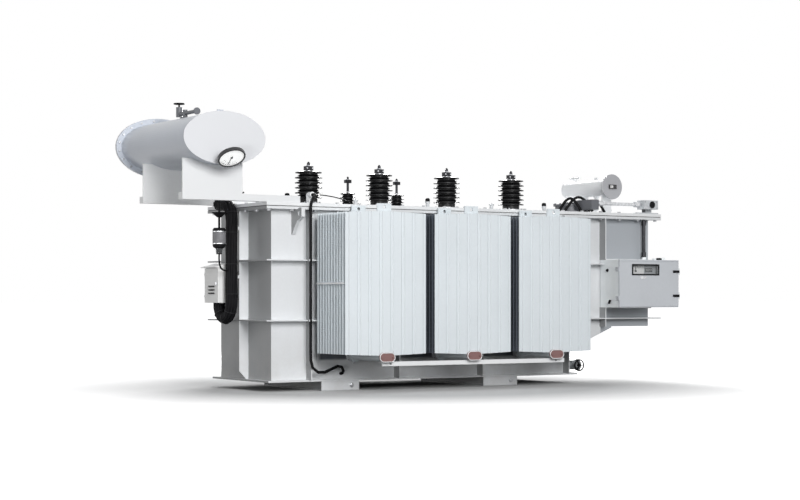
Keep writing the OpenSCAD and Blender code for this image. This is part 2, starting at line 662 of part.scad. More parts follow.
module clamp_ring(x, y, core) {
    difference() {
        rod_z(deck_z, deck_z + 24, x, y, core + 34);
        rod_z(deck_z - 1, deck_z + 14.5, x, y, core + 14.5);
        translate([x, y, deck_z + 14.3]) cylinder(h = 12, r1 = core + 14.5, r2 = core + 0.5);
    }
    for (a = [45:90:315]) translate([x, y, 0]) rotate(a) translate([core + 24, 0, deck_z + 24])
        cylinder(h = 9, r = 10, $fn = 6);
}
module bushing_clamps() color(steel) {
    for (i = [0:3]) clamp_ring(hv_x + i * hv_pitch, hv_y, hv_core_r);
    for (i = [0:2]) clamp_ring(lv_x + i * lv_pitch, lv_y, lv_core_r);
}
stud_r = 15;
// A stud of length l whose clamp starts at a height of clamp_z above the bushing
module terminal(x, y, z, r, l, clamp_z) {
    rod_z(z, z + l, x, y, r);
    translate([x, y, z + l]) cylinder(h = r, r1 = r, r2 = r * 0.4);
    difference() {
        block([x - 2.6 * r, y - 1.6 * r, z + clamp_z], [x + 2.6 * r, y + 1.6 * r, z + clamp_z + 2.6 * r]);
        for (k = [-1, 1]) rod_y(y - 2 * r, y + 2 * r, x + 1.9 * k * r, z + clamp_z + 1.3 * r, r * 0.4);
    }
}
module bushing_terminals() color(steel) {
    for (i = [0:3]) terminal(hv_x + i * hv_pitch, hv_y, hv_top, stud_r, 72, 6);
    for (i = [0:2]) terminal(lv_x + i * lv_pitch, lv_y, lv_top, stud_r * 0.8, 140, 90);
}

// Main conservator: an oval drum, open at its rear flange
module conservator() color(grey) {
    difference() {
        union() {
            translate([drum_x, 0, drum_z]) along_y(drum_y, drum_y + drum_end_t)
                polygon(oval(drum_a + 8, drum_b + 7));
            translate([drum_x, 0, drum_z]) along_y(drum_y + drum_end_t - 1, drum_y1 - drum_end_t)
                polygon(oval(drum_a, drum_b));
            translate([drum_x, 0, drum_z]) along_y(drum_y1 - drum_end_t, drum_y1)
                polygon(oval(drum_a + drum_flange, drum_b + drum_flange));
            rod_z(drop_z, drum_z, drop_x, relay_y, pipe_r + 12);
            rod_z(breather_z1, drum_z, breather_x, breather_y, 26);
            rod_z(drum_z, filler_z, drum_x, filler_y, 50);
        }
        translate([drum_x, 0, drum_z]) along_y(drum_y + drum_end_t, drum_y1 + 1)
            polygon(oval(drum_a - drum_t, drum_b - drum_t));
        for (i = [0:drum_bolts - 1]) rod_y(drum_y1 - drum_end_t - 1, drum_y1 + 1, drum_bolt(i)[0],
            drum_bolt(i)[1], 0.6 * bolt_r + bolt_gap);
    }
    for (s = [-1, 1]) difference() {
        block([gauge_c.x + 20 * s - 4, drum_y + drum_end_t - 1, drum_z - 20],
            [gauge_c.x + 20 * s + 4, float_y + 16, drum_z + 20]);
        rod_x(gauge_c.x - 30, gauge_c.x + 30, float_y, drum_z, 6 + run_gap);
    }
    for (y = [drum_y + 90, drum_y1 - 60]) difference() {
        block([drum_x - 30, y, drum_z + drum_b - 4], [drum_x + 30, y + 12, drum_z + drum_b + 26]);
        rod_y(y - 1, y + 13, drum_x, drum_z + drum_b + 10, 9);
    }
}
module conservator_cover() color(white) difference() {
    translate([drum_x, 0, drum_z]) along_y(drum_y1, drum_y1 + drum_end_t)
        polygon(oval(drum_a + drum_flange, drum_b + drum_flange));
    for (i = [0:drum_bolts - 1]) rod_y(drum_y1 - 1, drum_y1 + drum_end_t + 1, drum_bolt(i)[0],
        drum_bolt(i)[1], 0.6 * bolt_r + bolt_gap);
}
module saddle(y) difference() {
    block([saddle_x0, y, deck_z + beam_h - 1], [saddle_x1, y + saddle_t, saddle_top]);
    translate([drum_x, 0, drum_z]) along_y(y - 1, y + saddle_t + 1) polygon(oval(drum_a, drum_b));
}
module conservator_supports() color(white) for (y = support_ys) {
    difference() {
        block([beam_x0, y, deck_z], [beam_x1, y + beam_w, deck_z + beam_h]);
        block([beam_x0 + 10, y + 8, deck_z + 8], [beam_x1 - 10, y + beam_w + 1, deck_z + beam_h - 8]);
        head_room();
    }
    saddle(y);
}

// Level gauge on the front end, tilted down to be read from the ground
module at_gauge() translate(gauge_c) rotate([180 - 90 + gauge_tilt, 0, 0]) mirror([0, 1, 0]) children();
pointer_r = 5;
module level_gauge() color(black) difference() {
    union() {
        at_gauge() {
            difference() {
                translate([0, 0, -gauge_len]) cylinder(h = gauge_len, r = gauge_r);
                translate([0, 0, -9]) cylinder(h = 10, r = gauge_r - 10);
            }
        }
        difference() {
            rod_y(gauge_c.y, drum_y, gauge_c.x, gauge_c.z + 28, 50);
            at_gauge() translate([0, 0, 1 - gauge_len]) cylinder(h = 200, r = gauge_r + 60);
        }
    }
    block([drum_x - 400, drum_y, drum_z - 400], [drum_x + 400, drum_y + 300, drum_z + 300]);
    at_gauge() translate([0, 0, -22]) cylinder(h = 30, r = pointer_r + run_gap);
}
module level_pointer() color(black) at_gauge() {
    translate([0, 0, -21]) cylinder(h = 17, r = pointer_r);
    translate([-3, -18, -8]) cube([6, gauge_r - 12, 3]);
    translate([0, 0, -8]) cylinder(h = 4, r = 12);
}
module level_float() color(steel) {
    rod_x(gauge_c.x - 26, gauge_c.x + 26, float_y, drum_z, 6);
    block([gauge_c.x - 6, float_y - 8, drum_z - 8], [gauge_c.x + 6, float_y + float_arm, drum_z + 8]);
    translate([gauge_c.x, float_y + float_arm, drum_z]) sphere(r = float_r);
}

// Oil pipes and the gas relay between the conservator and the tank
pipe_r = 30;
relay_x = tank_x0 - 110;
relay_y = 490;
relay_z = deck_z + (drum_rise - drum_b) / 2;
drop_x = drum_x + 330;
drop_z = drum_z - 0.78 * drum_b;
relay_end = tank_x0 + 10;
module oil_pipes() color(pale) {
    rod_z(relay_z, drop_z, drop_x, relay_y, pipe_r);
    rod_z(drop_z - 12, drop_z, drop_x, relay_y, pipe_r + 24);
    translate([drop_x, relay_y, relay_z]) sphere(r = pipe_r);
    rod_x(drop_x, relay_x - 90, relay_y, relay_z, pipe_r);
    rod_x(relay_x + 90, relay_end, relay_y, relay_z, pipe_r);
    translate([relay_end, relay_y, relay_z]) sphere(r = pipe_r);
    rod_z(deck_z, relay_z, relay_end, relay_y, pipe_r);
    rod_z(deck_z, deck_z + 14, relay_end, relay_y, pipe_r + 26);
    rod_x(relay_x - 90 - 12, relay_x - 90, relay_y, relay_z, pipe_r + 24);
    rod_x(relay_x + 90, relay_x + 90 + 12, relay_y, relay_z, pipe_r + 24);
    rod_x(port_x, small_x, changer_y, port_z, small_pipe_r);
    rod_x(port_x, port_x + 12, changer_y, port_z, small_pipe_r + 18);
    translate([small_x, changer_y, port_z]) sphere(r = small_pipe_r);
    rod_z(port_z, small_z - small_r - 14, small_x, changer_y, small_pipe_r);
}
module gas_relay() color(grey) {
    rod_x(relay_x - 90, relay_x - 78, relay_y, relay_z, pipe_r + 24);
    rod_x(relay_x + 78, relay_x + 90, relay_y, relay_z, pipe_r + 24);
    rod_x(relay_x - 79, relay_x + 79, relay_y, relay_z, pipe_r + 4);
    block([relay_x - 56, relay_y - 52, relay_z - 60], [relay_x + 56, relay_y + 52, relay_z + 60]);
    block([relay_x - 64, relay_y - 60, relay_z + 60], [relay_x + 64, relay_y + 60, relay_z + 72]);
    rod_z(relay_z + 72, relay_z + 100, relay_x - 20, relay_y, 12);
}

// Dryer of the conservator's breathing air
breather_x = -1930;
breather_y = -140;
breather_top = 1485;
breather_z1 = drum_z - 0.88 * drum_b;
module breather() color(black) translate([breather_x, breather_y, 0]) rotate_extrude()
    polygon([[0, breather_top - 240], [26, breather_top - 240], [30, breather_top - 190],
        [54, breather_top - 176],
        [60, breather_top - 160], [60, breather_top - 14], [48, breather_top], [0, breather_top]]);
module breather_pipe() color(black) translate([breather_x, breather_y, 0]) {
    rod_z(breather_top, breather_z1, 0, 0, 10);
    translate([0, 0, breather_top + 96]) cylinder(h = 46, r1 = 20, r2 = 72);
}

// Filler valve on top of the drum
filler_y = 60;
filler_z = drum_z + drum_b + 3;
wheel_r = 46;
module filler_valve() color(grey) {
    rod_z(filler_z, filler_z + 14, drum_x, filler_y, 46);
    rod_z(filler_z + 13, filler_z + 84, drum_x, filler_y, 22);
    rod_y(filler_y - 240, filler_y + 130, drum_x, filler_z + 52, 17);
    rod_y(filler_y - 252, filler_y - 238, drum_x, filler_z + 52, 32);
    difference() {
        rod_z(filler_z + 28, filler_z + 118, drum_x, filler_y + 130, 28);
        rod_z(filler_z + 90, filler_z + 119, drum_x, filler_y + 130, 8 + run_gap);
    }
}
module handwheel(r) {
    rotate_extrude() translate([r, 0]) circle(r = r * 0.13, $fn = 24);
    cylinder(h = r * 0.36, r = r * 0.26, center = true);
    for (a = [0:120:240]) rotate(a) translate([0, -r * 0.09, -r * 0.07]) cube([r, r * 0.18, r * 0.14]);
}
module filler_handwheel() color(black) {
    translate([drum_x, filler_y + 130, filler_z + 150]) handwheel(wheel_r);
    rod_z(filler_z + 92, filler_z + 150, drum_x, filler_y + 130, 8);
}

// Small conservator of the tap changer, on two legs
module small_conservator() color(pale) {
    difference() {
        union() {
            rod_y(small_y0, small_y0 + small_l, small_x, small_z, small_r);
            rod_y(small_y0, small_y0 + 12, small_x, small_z, small_flange_r);
            rod_z(small_z - small_r - 14, small_z, small_x, changer_y, small_pipe_r + 8);
        }
        rod_y(small_y0 + 8, small_y0 + small_l - 6, small_x, small_z, small_r - 5);
    }
    for (y = [small_y0 + 90, small_y0 + 470]) difference() {
        union() {
            block([small_x - 60, y, deck_z + 10], [small_x + 60, y + 10, small_z]);
            block([small_x - 6, y, deck_z + 10], [small_x + 6, y + 60, small_z - small_r + 2]);
            block([small_x - 80, y - 10, deck_z], [small_x + 80, y + 70, deck_z + 11]);
        }
        rod_y(y - 20, y + 80, small_x, small_z, small_r);
    }
    small_top = small_z + small_r;
    bar_y = small_y0 + small_l - 120;
    rod_z(small_top - 4, small_top + 34, small_x, bar_y, 16);
    rod_y(bar_y - 80, bar_y + 80, small_x, small_top + 34, 12);
    lug_y = small_y0 + small_l / 2 - 130;
    block([small_x - 5, lug_y, small_top - 4], [small_x + 5, lug_y + 50, small_top + 20]);
}
module small_conservator_gauge() color(black) {
    block([small_x - 46, small_y0 - 16, small_z - 22], [small_x + 46, small_y0, small_z + 22]);
    block([small_x - 40, small_y0 - 20, small_z - 16], [small_x + 4, small_y0 - 16, small_z + 16]);
}

// Drive from the motor box to the tap changer
gear_x0 = shaft_x - 36;
module horizontal_shaft() color(steel) {
    rod_x(changer_x + 10, gear_x0 + 40, shaft_y, gear_z, shaft_r);
    for (x = [changer_x + arm_w / 2 + 30, gear_x0 - 90]) rod_x(x, x + 56, shaft_y, gear_z, shaft_r + 11);
}
module bevel_gearbox() color(grey) difference() {
    union() {
        block([gear_x0, shaft_y - 52, gear_z - gear_h / 2],
            [gear_x0 + gear_w, shaft_y + 62, gear_z + gear_h / 2]);
        rod_y(shaft_y - 66, shaft_y - 51, gear_x0 + gear_w / 2, gear_z, 34);
        block([gear_x0 - 30, shaft_y - 30, deck_z], [gear_x0 + gear_w + 20, shaft_y + 90, deck_z + 12]);
        block([gear_x0 + 60, shaft_y + 30, deck_z + 11],
            [gear_x0 + gear_w - 20, shaft_y + 62, gear_z - gear_h / 2 + 1]);
    }
    rod_x(gear_x0 - 1, gear_x0 + 42, shaft_y, gear_z, shaft_r + run_gap);
    rod_z(deck_z - 1, gear_z - 20, shaft_x, shaft_y, shaft_r + run_gap);
    head_room();
}
module vertical_shaft() color(steel) {
    rod_z(motor_top - 60, gear_z - 21, shaft_x, shaft_y, shaft_r);
    for (z = [motor_top + 34, deck_z - 120]) rod_z(z, z + 50, shaft_x, shaft_y, shaft_r + 7);
}
module motor_box() color(grey) {
    difference() {
        block([motor_x0, motor_front + door_t + door_gap, motor_z], [motor_x1, motor_back, motor_top]);
        block([motor_x0 + sheet_t, motor_front, motor_z + sheet_t],
            [motor_x1 - sheet_t, motor_back - sheet_t, motor_top - sheet_t]);
        rod_z(motor_top - 10, motor_top + 10, shaft_x, shaft_y, shaft_r + run_gap);
    }
    difference() {
        rod_z(motor_top - 1, motor_top + shelf_t + 22, shaft_x, shaft_y, shaft_r + 7);
        rod_z(motor_top - 2, motor_top + shelf_t + 23, shaft_x, shaft_y, shaft_r + run_gap);
    }
    for (z = hinge_zs) {
        for (k = [-1, 1]) rod_z(z - knuckle_h / 2 + k * (knuckle_h + 0.6),
            z + knuckle_h / 2 + k * (knuckle_h + 0.6), hinge_x, hinge_y, hinge_r);
        rod_z(z - knuckle_h * 1.4, z + knuckle_h * 1.4, hinge_x, hinge_y, hinge_pin_r);
        for (k = [-1, 1]) block([motor_x1, hinge_y, z - knuckle_h / 2 + k * (knuckle_h + 0.6)],
            [motor_x1 + 4, hinge_y + 50, z + knuckle_h / 2 + k * (knuckle_h + 0.6)]);
    }
    block([motor_x1 - 130, motor_front + 110, motor_top],
        [motor_x1 - 86, motor_front + 150, motor_top + 26]);
    rod_z(motor_top, motor_top + 18, motor_x1 - 230, motor_front + 90, 34);
}
module motor_box_door() color(pale) {
    difference() {
        block([motor_x0, motor_front, motor_z],
            [hinge_x - hinge_r - door_gap, motor_front + door_t, motor_top]);
        block([motor_x0 + sheet_t, motor_front + sheet_t, motor_z + sheet_t],
            [hinge_x - hinge_r - door_gap - sheet_t, motor_front + door_t + 1, motor_top - sheet_t]);
        block([window_x0, motor_front - 1, window_z0],
            [window_x0 + window_w, motor_front + sheet_t + 1, window_z0 + window_h2]);
    }
    for (z = hinge_zs) {
        difference() {
            union() {
                rod_z(z - knuckle_h / 2, z + knuckle_h / 2, hinge_x, hinge_y, hinge_r);
                block([hinge_x - 86, motor_front - 4, z - knuckle_h / 2],
                    [hinge_x, motor_front + 1, z + knuckle_h / 2]);
            }
            rod_z(z - knuckle_h, z + knuckle_h, hinge_x, hinge_y, hinge_pin_r + run_gap);
        }
    }
    for (z = [motor_z + 70, motor_z + 360])
        block([motor_x0 - 8, motor_front + 3, z], [motor_x0 + 1, motor_front + 17, z + 46]);
}
module door_window() color(clear)
    block([window_x0 - 12, motor_front + sheet_t, window_z0 - 12],
        [window_x0 + window_w + 12, motor_front + sheet_t + 4, window_z0 + window_h2 + 12]);
unit_y0 = motor_front + 60;
module drive_unit() color(grey) difference() {
    union() {
        block([motor_x0 + 120, unit_y0 + 40, motor_z + 130],
            [motor_x1 - 90, motor_back - sheet_t, motor_top - 70]);
        block([window_x0 - 20, unit_y0, window_z0 - 24],
            [window_x0 + window_w + 20, unit_y0 + 41, window_z0 + window_h2 + 24]);
        rod_z(motor_z + 30, motor_z + 131, motor_x0 + 260, motor_back - 110, 70);
        rod_z(motor_top - 71, motor_top - 30, shaft_x, shaft_y, shaft_r + 14);
    }
    rod_z(motor_top - 62, motor_top, shaft_x, shaft_y, shaft_r + run_gap);
    rod_y(unit_y0 - 1, unit_y0 + 30, pointer_x, pointer_z, 5 + run_gap);
}
module position_pointer() color(black) {
    rod_y(unit_y0 - 8, unit_y0 + 28, pointer_x, pointer_z, 5);
    rod_y(unit_y0 - 8, unit_y0 - 4, pointer_x, pointer_z, 12);
    block([pointer_x - 3, unit_y0 - 8, pointer_z - 12], [pointer_x + 3, unit_y0 - 5, pointer_z + 46]);
}

// Control cabinet on the left end, with its roof and gland plate
cab_hinge_y = cabinet_y0 + cabinet_w + 5;
cab_hinge_x = cabinet_x0 + 8;
cab_zs = [cabinet_z + 60, cabinet_z + cabinet_h - 60];
cab_door_t = 16;
module control_cabinet() color(pale) {
    difference() {
        block([cabinet_x0 + cab_door_t + door_gap, cabinet_y0, cabinet_z],
            [cabinet_x0 + cabinet_d, cabinet_y0 + cabinet_w, cabinet_z + cabinet_h]);
        block([cabinet_x0, cabinet_y0 + sheet_t, cabinet_z + sheet_t],
            [cabinet_x0 + cabinet_d - sheet_t, cabinet_y0 + cabinet_w - sheet_t,
                cabinet_z + cabinet_h - sheet_t]);
    }
    block([cabinet_x0 + cabinet_d - 14, cabinet_y0 + 30, cabinet_z + 60],
        [cabinet_x0 + cabinet_d - 2, cabinet_y0 + cabinet_w - 30, cabinet_z + cabinet_h - 60]);
    for (z = [cabinet_z + 40, cabinet_z + cabinet_h - 70])
        block([cabinet_x0 + cabinet_d - 1, cabinet_y0 + 60, z],
            [tank_x0, cabinet_y0 + cabinet_w - 60, z + 30]);
    along_y(cabinet_y0 - 12, cabinet_y0 + cabinet_w + 24)
        polygon([[cabinet_x0 - 34, cabinet_z + cabinet_h + 6],
        [cabinet_x0 - 30, cabinet_z + cabinet_h + 2], [cabinet_x0 + cabinet_d, cabinet_z + cabinet_h - 1],
        [cabinet_x0 + cabinet_d, cabinet_z + cabinet_h + 44]]);
    for (z = cab_zs) {
        for (k = [-1, 1]) {
            rod_z(z - 9 + k * 18.6, z + 9 + k * 18.6, cab_hinge_x, cab_hinge_y + 1, 6);
            block([cab_hinge_x, cabinet_y0 + cabinet_w, z - 9 + k * 18.6],
                [cab_hinge_x + 40, cabinet_y0 + cabinet_w + 3, z + 9 + k * 18.6]);
        }
        rod_z(z - 20, z + 20, cab_hinge_x, cab_hinge_y + 1, 3);
    }
}
module control_cabinet_door() color(grey) {
    difference() {
        block([cabinet_x0, cabinet_y0, cabinet_z],
            [cabinet_x0 + cab_door_t, cab_hinge_y - 5.5, cabinet_z + cabinet_h - 2]);
        block([cabinet_x0 + sheet_t, cabinet_y0 + sheet_t, cabinet_z + sheet_t],
            [cabinet_x0 + cab_door_t + 1, cab_hinge_y - 5.5 - sheet_t,
                cabinet_z + cabinet_h - 2 - sheet_t]);
        for (k = [0:2]) block([cabinet_x0 - 1, cabinet_y0 + 70, cabinet_z + 80 + k * 32],
            [cabinet_x0 + sheet_t + 1, cabinet_y0 + 190, cabinet_z + 90 + k * 32]);
    }
    for (z = cab_zs) difference() {
        union() {
            rod_z(z - 9, z + 9, cab_hinge_x, cab_hinge_y + 1, 6);
            block([cabinet_x0 - 3, cab_hinge_y - 40, z - 9], [cabinet_x0 + 1, cab_hinge_y + 1, z + 9]);
            block([cabinet_x0 - 3, cab_hinge_y - 4, z - 9], [cab_hinge_x, cab_hinge_y + 1, z + 9]);
        }
        rod_z(z - 10, z + 10, cab_hinge_x, cab_hinge_y + 1, 3 + run_gap);
    }
}

// Pipe elbow on the cover that the front cable comes out of
module cable_elbow() color(white) {
    rod_z(deck_z, deck_z + elbow_foot_t, elbow_x, elbow_y, elbow_r + 24);
    rod_z(deck_z, elbow_z, elbow_x, elbow_y, elbow_r);
    translate([elbow_x, elbow_y, elbow_z]) sphere(r = elbow_r);
    rod_y(elbow_y - elbow_l, elbow_y, elbow_x, elbow_z, elbow_r);
}

// Cables that the tank holds all the way
module cable_trunk() color(black) swept_tube(trunk_path, trunk_r, 12);
module front_cable() color(black) swept_tube(cable_path, cable_r, 8);

// Drain valve on the lower right end
drain_y = -440;
drain_z = 175;
module drain_valve() color(grey) difference() {
    union() {
        rod_x(tank_x1, tank_x1 + 14, drain_y, drain_z, 62);
        rod_x(tank_x1 + 13, tank_x1 + 150, drain_y, drain_z, 34);
        rod_x(tank_x1 + 60, tank_x1 + 120, drain_y, drain_z, 46);
        rod_x(tank_x1 + 146, tank_x1 + 160, drain_y, drain_z, 58);
        rod_y(drain_y - 90, drain_y, tank_x1 + 90, drain_z, 24);
    }
    rod_x(tank_x1 - 1, tank_x1 + 161, drain_y, drain_z, 26);
    rod_y(drain_y - 91, drain_y - 40, tank_x1 + 90, drain_z, 9 + run_gap);
    for (a = [45:90:315]) rod_x(tank_x1 + 145, tank_x1 + 161, drain_y + 44 * cos(a), drain_z + 44 * sin(a),
        7);
}
module drain_handwheel() color(black) {
    translate([tank_x1 + 90, drain_y - 116, drain_z]) rotate([90, 0, 0]) handwheel(54);
    rod_y(drain_y - 116, drain_y - 42, tank_x1 + 90, drain_z, 9);
}

tank();
skids();
cover();
cover_gasket();
flange_bolts();
lifting_lugs();
core();
core_clamps();
lv_windings();
hv_windings();
tap_changer_vessel();
radiator(0);  // radiator_1
radiator(1);  // radiator_2
radiator(2);  // radiator_3
radiator(3);  // radiator_4
radiator(4);  // radiator_5
radiator(5);  // radiator_6
radiator_valves();
radiator_caps();
radiator_tie_bars();
radiator_bottom_rail();
hv_bushing(1);  // hv_bushing_1
hv_bushing(2);  // hv_bushing_2
hv_bushing(3);  // hv_bushing_3
hv_bushing(4);  // hv_bushing_4
lv_bushing(1);  // lv_bushing_1
lv_bushing(2);  // lv_bushing_2
lv_bushing(3);  // lv_bushing_3
bushing_clamps();
bushing_terminals();
conservator();
conservator_cover();
conservator_supports();
level_gauge();
level_pointer();
level_float();
oil_pipes();
gas_relay();
breather();
breather_pipe();
filler_valve();
filler_handwheel();
small_conservator();
small_conservator_gauge();
tap_changer_head();
horizontal_shaft();
bevel_gearbox();
vertical_shaft();
motor_box();
motor_box_door();
door_window();
drive_unit();
position_pointer();
control_cabinet();
control_cabinet_door();
cable_trunk();
front_cable();
cable_elbow();
drain_valve();
drain_handwheel();
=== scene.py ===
import json
import math

import bmesh
import bpy
from mathutils import Matrix, Vector


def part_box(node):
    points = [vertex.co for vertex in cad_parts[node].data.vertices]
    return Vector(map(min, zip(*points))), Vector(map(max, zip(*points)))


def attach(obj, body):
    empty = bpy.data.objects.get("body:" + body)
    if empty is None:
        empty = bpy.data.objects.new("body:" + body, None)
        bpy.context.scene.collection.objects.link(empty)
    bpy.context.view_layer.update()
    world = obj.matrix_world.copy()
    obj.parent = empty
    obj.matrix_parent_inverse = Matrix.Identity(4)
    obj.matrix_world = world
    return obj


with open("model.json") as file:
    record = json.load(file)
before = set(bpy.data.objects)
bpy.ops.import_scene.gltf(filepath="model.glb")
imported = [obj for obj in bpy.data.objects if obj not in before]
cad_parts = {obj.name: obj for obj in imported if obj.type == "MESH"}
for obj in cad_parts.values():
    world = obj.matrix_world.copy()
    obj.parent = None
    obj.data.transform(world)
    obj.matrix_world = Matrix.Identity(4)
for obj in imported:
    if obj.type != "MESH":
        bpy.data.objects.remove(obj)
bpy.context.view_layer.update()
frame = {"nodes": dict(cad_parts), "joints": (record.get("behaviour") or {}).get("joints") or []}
scene = bpy.context.scene
ROOT = "tank"
MM = 0.001


# Sizes and places in metres, most of them read from the CAD nodes and joints
def corners(name):
    """The lowest and the highest corner of a CAD node."""
    low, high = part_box(name)
    return Vector(low), Vector(high)


def middle(name):
    low, high = corners(name)
    return (low + high) / 2


def pivot(name):
    """The place of a joint."""
    return Vector(next(joint["pos_m"] for joint in frame["joints"] if joint["name"] == name))


DECK = corners("cover")[1].z
TANK_WALL_Y = 0.505
POCKET_X = 2.18
POCKET_HALF_W = 0.508
RIM_UNDERSIDE = 1.647

RADIATOR_XS = [middle("radiator_%d" % i).x for i in (1, 2, 3)]
RADIATOR_X = RADIATOR_XS[1]
RADIATOR_PITCH = RADIATOR_XS[1] - RADIATOR_XS[0]
RADIATOR_FRONT = 1.122
PANEL_W = 0.81
FLUTES = 7
FLUTE_PITCH = PANEL_W / FLUTES
WELD_PITCH = 0.048
HEADER_LOW = middle("radiator_caps").z
HEADER_DROP = 0.121
HEADER_HIGH = DECK - HEADER_DROP
HEADER_ZS = (HEADER_LOW, HEADER_HIGH)
STRIP_HALF_L = 1.27
STRIP_FOOT = 0.27
STRIP_TOP = 0.45


# Node helpers
def shader(name):
    """A new material with its node tree and its Principled shader, linked to the output."""
    mat = bpy.data.materials.new(name)
    mat.use_nodes = True
    tree = mat.node_tree
    tree.nodes.clear()
    out = tree.nodes.new("ShaderNodeOutputMaterial")
    bsdf = tree.nodes.new("ShaderNodeBsdfPrincipled")
    tree.links.new(bsdf.outputs[0], out.inputs[0])
    return mat, tree, bsdf


def node(tree, kind, **values):
    made = tree.nodes.new(kind)
    for key, value in values.items():
        setattr(made, key, value)
    return made


def put(tree, socket, value):
    """Link an output to a socket, or set the socket to a plain number or colour."""
    if isinstance(value, bpy.types.NodeSocket):
        tree.links.new(value, socket)
    else:
        socket.default_value = value


def maths(tree, operation, *values):
    made = node(tree, "ShaderNodeMath", operation=operation)
    for i, value in enumerate(values):
        put(tree, made.inputs[i], value)
    return made.outputs[0]


def times(tree, first, *others):
    """The product of two or more numbers or masks."""
    for other in others:
        first = maths(tree, "MULTIPLY", first, other)
    return first


def plus(tree, a, b):
    return maths(tree, "ADD", a, b)


def minus(tree, a, b):
    return maths(tree, "SUBTRACT", a, b)


def unsigned(tree, value):
    return maths(tree, "ABSOLUTE", value)


def length(tree, a, b):
    """The length of the way that goes a along one axis and b along the other."""
    return maths(tree, "SQRT", plus(tree, times(tree, a, a), times(tree, b, b)))


def noise(tree, place, scale, detail=3.0, rough=0.55):
    made = node(tree, "ShaderNodeTexNoise")
    put(tree, made.inputs["Vector"], place)
    made.inputs["Scale"].default_value = scale
    made.inputs["Detail"].default_value = detail
    made.inputs["Roughness"].default_value = rough
    return made.outputs["Fac"]


def spread(tree, value, low, high, to_low=0.0, to_high=1.0):
    """A value mapped from low and high, in either order, to 0 and 1 or to two other numbers."""
    made = node(tree, "ShaderNodeMapRange")
    put(tree, made.inputs[0], value)
    for i, number in enumerate((low, high, to_low, to_high)):
        made.inputs[i + 1].default_value = number
    return made.outputs[0]


def mixed(tree, fac, a, b):
    made = node(tree, "ShaderNodeMix", data_type="RGBA")
    put(tree, made.inputs[0], fac)
    put(tree, made.inputs[6], a)
    put(tree, made.inputs[7], b)
    return made.outputs[2]


def shade(colour, factor=1.0):
    """A colour made lighter or darker, with its alpha."""
    return tuple(min(1.0, c * factor) for c in colour[:3]) + (1.0,)


def object_place(tree):
    """Object coordinates, which are metres in the frame of the CAD."""
    return node(tree, "ShaderNodeTexCoord").outputs["Object"]


def facing(tree):
    """The way a face looks."""
    return node(tree, "ShaderNodeNewGeometry").outputs["Normal"]


def split(tree, vector):
    parts = node(tree, "ShaderNodeSeparateXYZ")
    tree.links.new(vector, parts.inputs[0])
    return parts.outputs[0], parts.outputs[1], parts.outputs[2]


def seen_rays(tree):
    """1 for the rays that show the background: the camera's, mirrored ones and those through glass."""
    rays = node(tree, "ShaderNodeLightPath")
    through = maths(tree, "MAXIMUM", rays.outputs["Is Glossy Ray"], rays.outputs["Is Transmission Ray"])
    return maths(tree, "MAXIMUM", rays.outputs["Is Camera Ray"], through)


def normals(tree, bsdf, height, strength, distance, edge):
    """Bump over a rounded edge, so that the folded and welded edges catch light."""
    bump = node(tree, "ShaderNodeBump")
    bump.inputs["Strength"].default_value = strength
    bump.inputs["Distance"].default_value = distance
    tree.links.new(height, bump.inputs["Height"])
    if edge:
        bevel = node(tree, "ShaderNodeBevel", samples=4)
        bevel.inputs["Radius"].default_value = edge
        tree.links.new(bevel.outputs[0], bump.inputs["Normal"])
    tree.links.new(bump.outputs[0], bsdf.inputs["Normal"])


# Materials
DUST = (0.52, 0.5, 0.47, 1.0)
SHED_DUST = (0.3, 0.3, 0.31, 1.0)
POCKET_GREY = (0.42, 0.445, 0.475)
# Colours of painted shade: the wall behind the radiators' feet and the faces between the radiators
UNLIT_STRIP = (0.1, 0.11, 0.13, 1.0)
UNLIT_GAP = (0.092, 0.106, 0.13, 1.0)


def paint(name, colour, rough=0.42, edge=0.004, dust=0.0, peel=900.0, coat=0.15, marks=None, end=None,
          glow=0.0):
    """Sprayed paint: faint cloudiness, dust near the floor, orange peel and soft edges.

    marks is a function that adds a piece's own tones, painted shade and relief. end is a place along Y and
    the colour of the faces in front of it; on the drum and on the supports that colour is painted light."""
    mat, tree, bsdf = shader(name)
    coords = object_place(tree)
    x, y, z = split(tree, coords)
    cloud = noise(tree, coords, 1.7, 4.0)
    fine = noise(tree, coords, 38.0, 3.0)
    tone = plus(tree, times(tree, cloud, 0.7), times(tree, fine, 0.3))
    base = mixed(tree, spread(tree, tone, 0.35, 0.65), shade(colour, 0.955), shade(colour, 1.02))
    height = plus(tree, times(tree, noise(tree, coords, peel, 2.0), 0.18), noise(tree, coords, 5.0, 2.0))
    if marks:
        base, height = marks(tree, (x, y, z), tone, colour, base, height)
    if end:
        front, end_colour = end
        base = mixed(tree, spread(tree, y, front + 0.003, front + 0.001), base, shade(end_colour))
    if dust:
        low = spread(tree, z, 0.55, 0.05)
        patch = times(tree, low, spread(tree, noise(tree, coords, 9.0), 0.4, 0.7))
        base = mixed(tree, times(tree, patch, dust), base, DUST)
    put(tree, bsdf.inputs["Base Color"], base)
    put(tree, bsdf.inputs["Roughness"], spread(tree, fine, 0.3, 0.7, rough - 0.05, rough + 0.06))
    bsdf.inputs["Coat Weight"].default_value = coat
    bsdf.inputs["Coat Roughness"].default_value = 0.3
    # glow makes the paint give off light of its own: painted light
    bsdf.inputs["Emission Color"].default_value = shade(colour)
    bsdf.inputs["Emission Strength"].default_value = glow
    normals(tree, bsdf, height, 0.35, 0.0015, edge)
    return mat


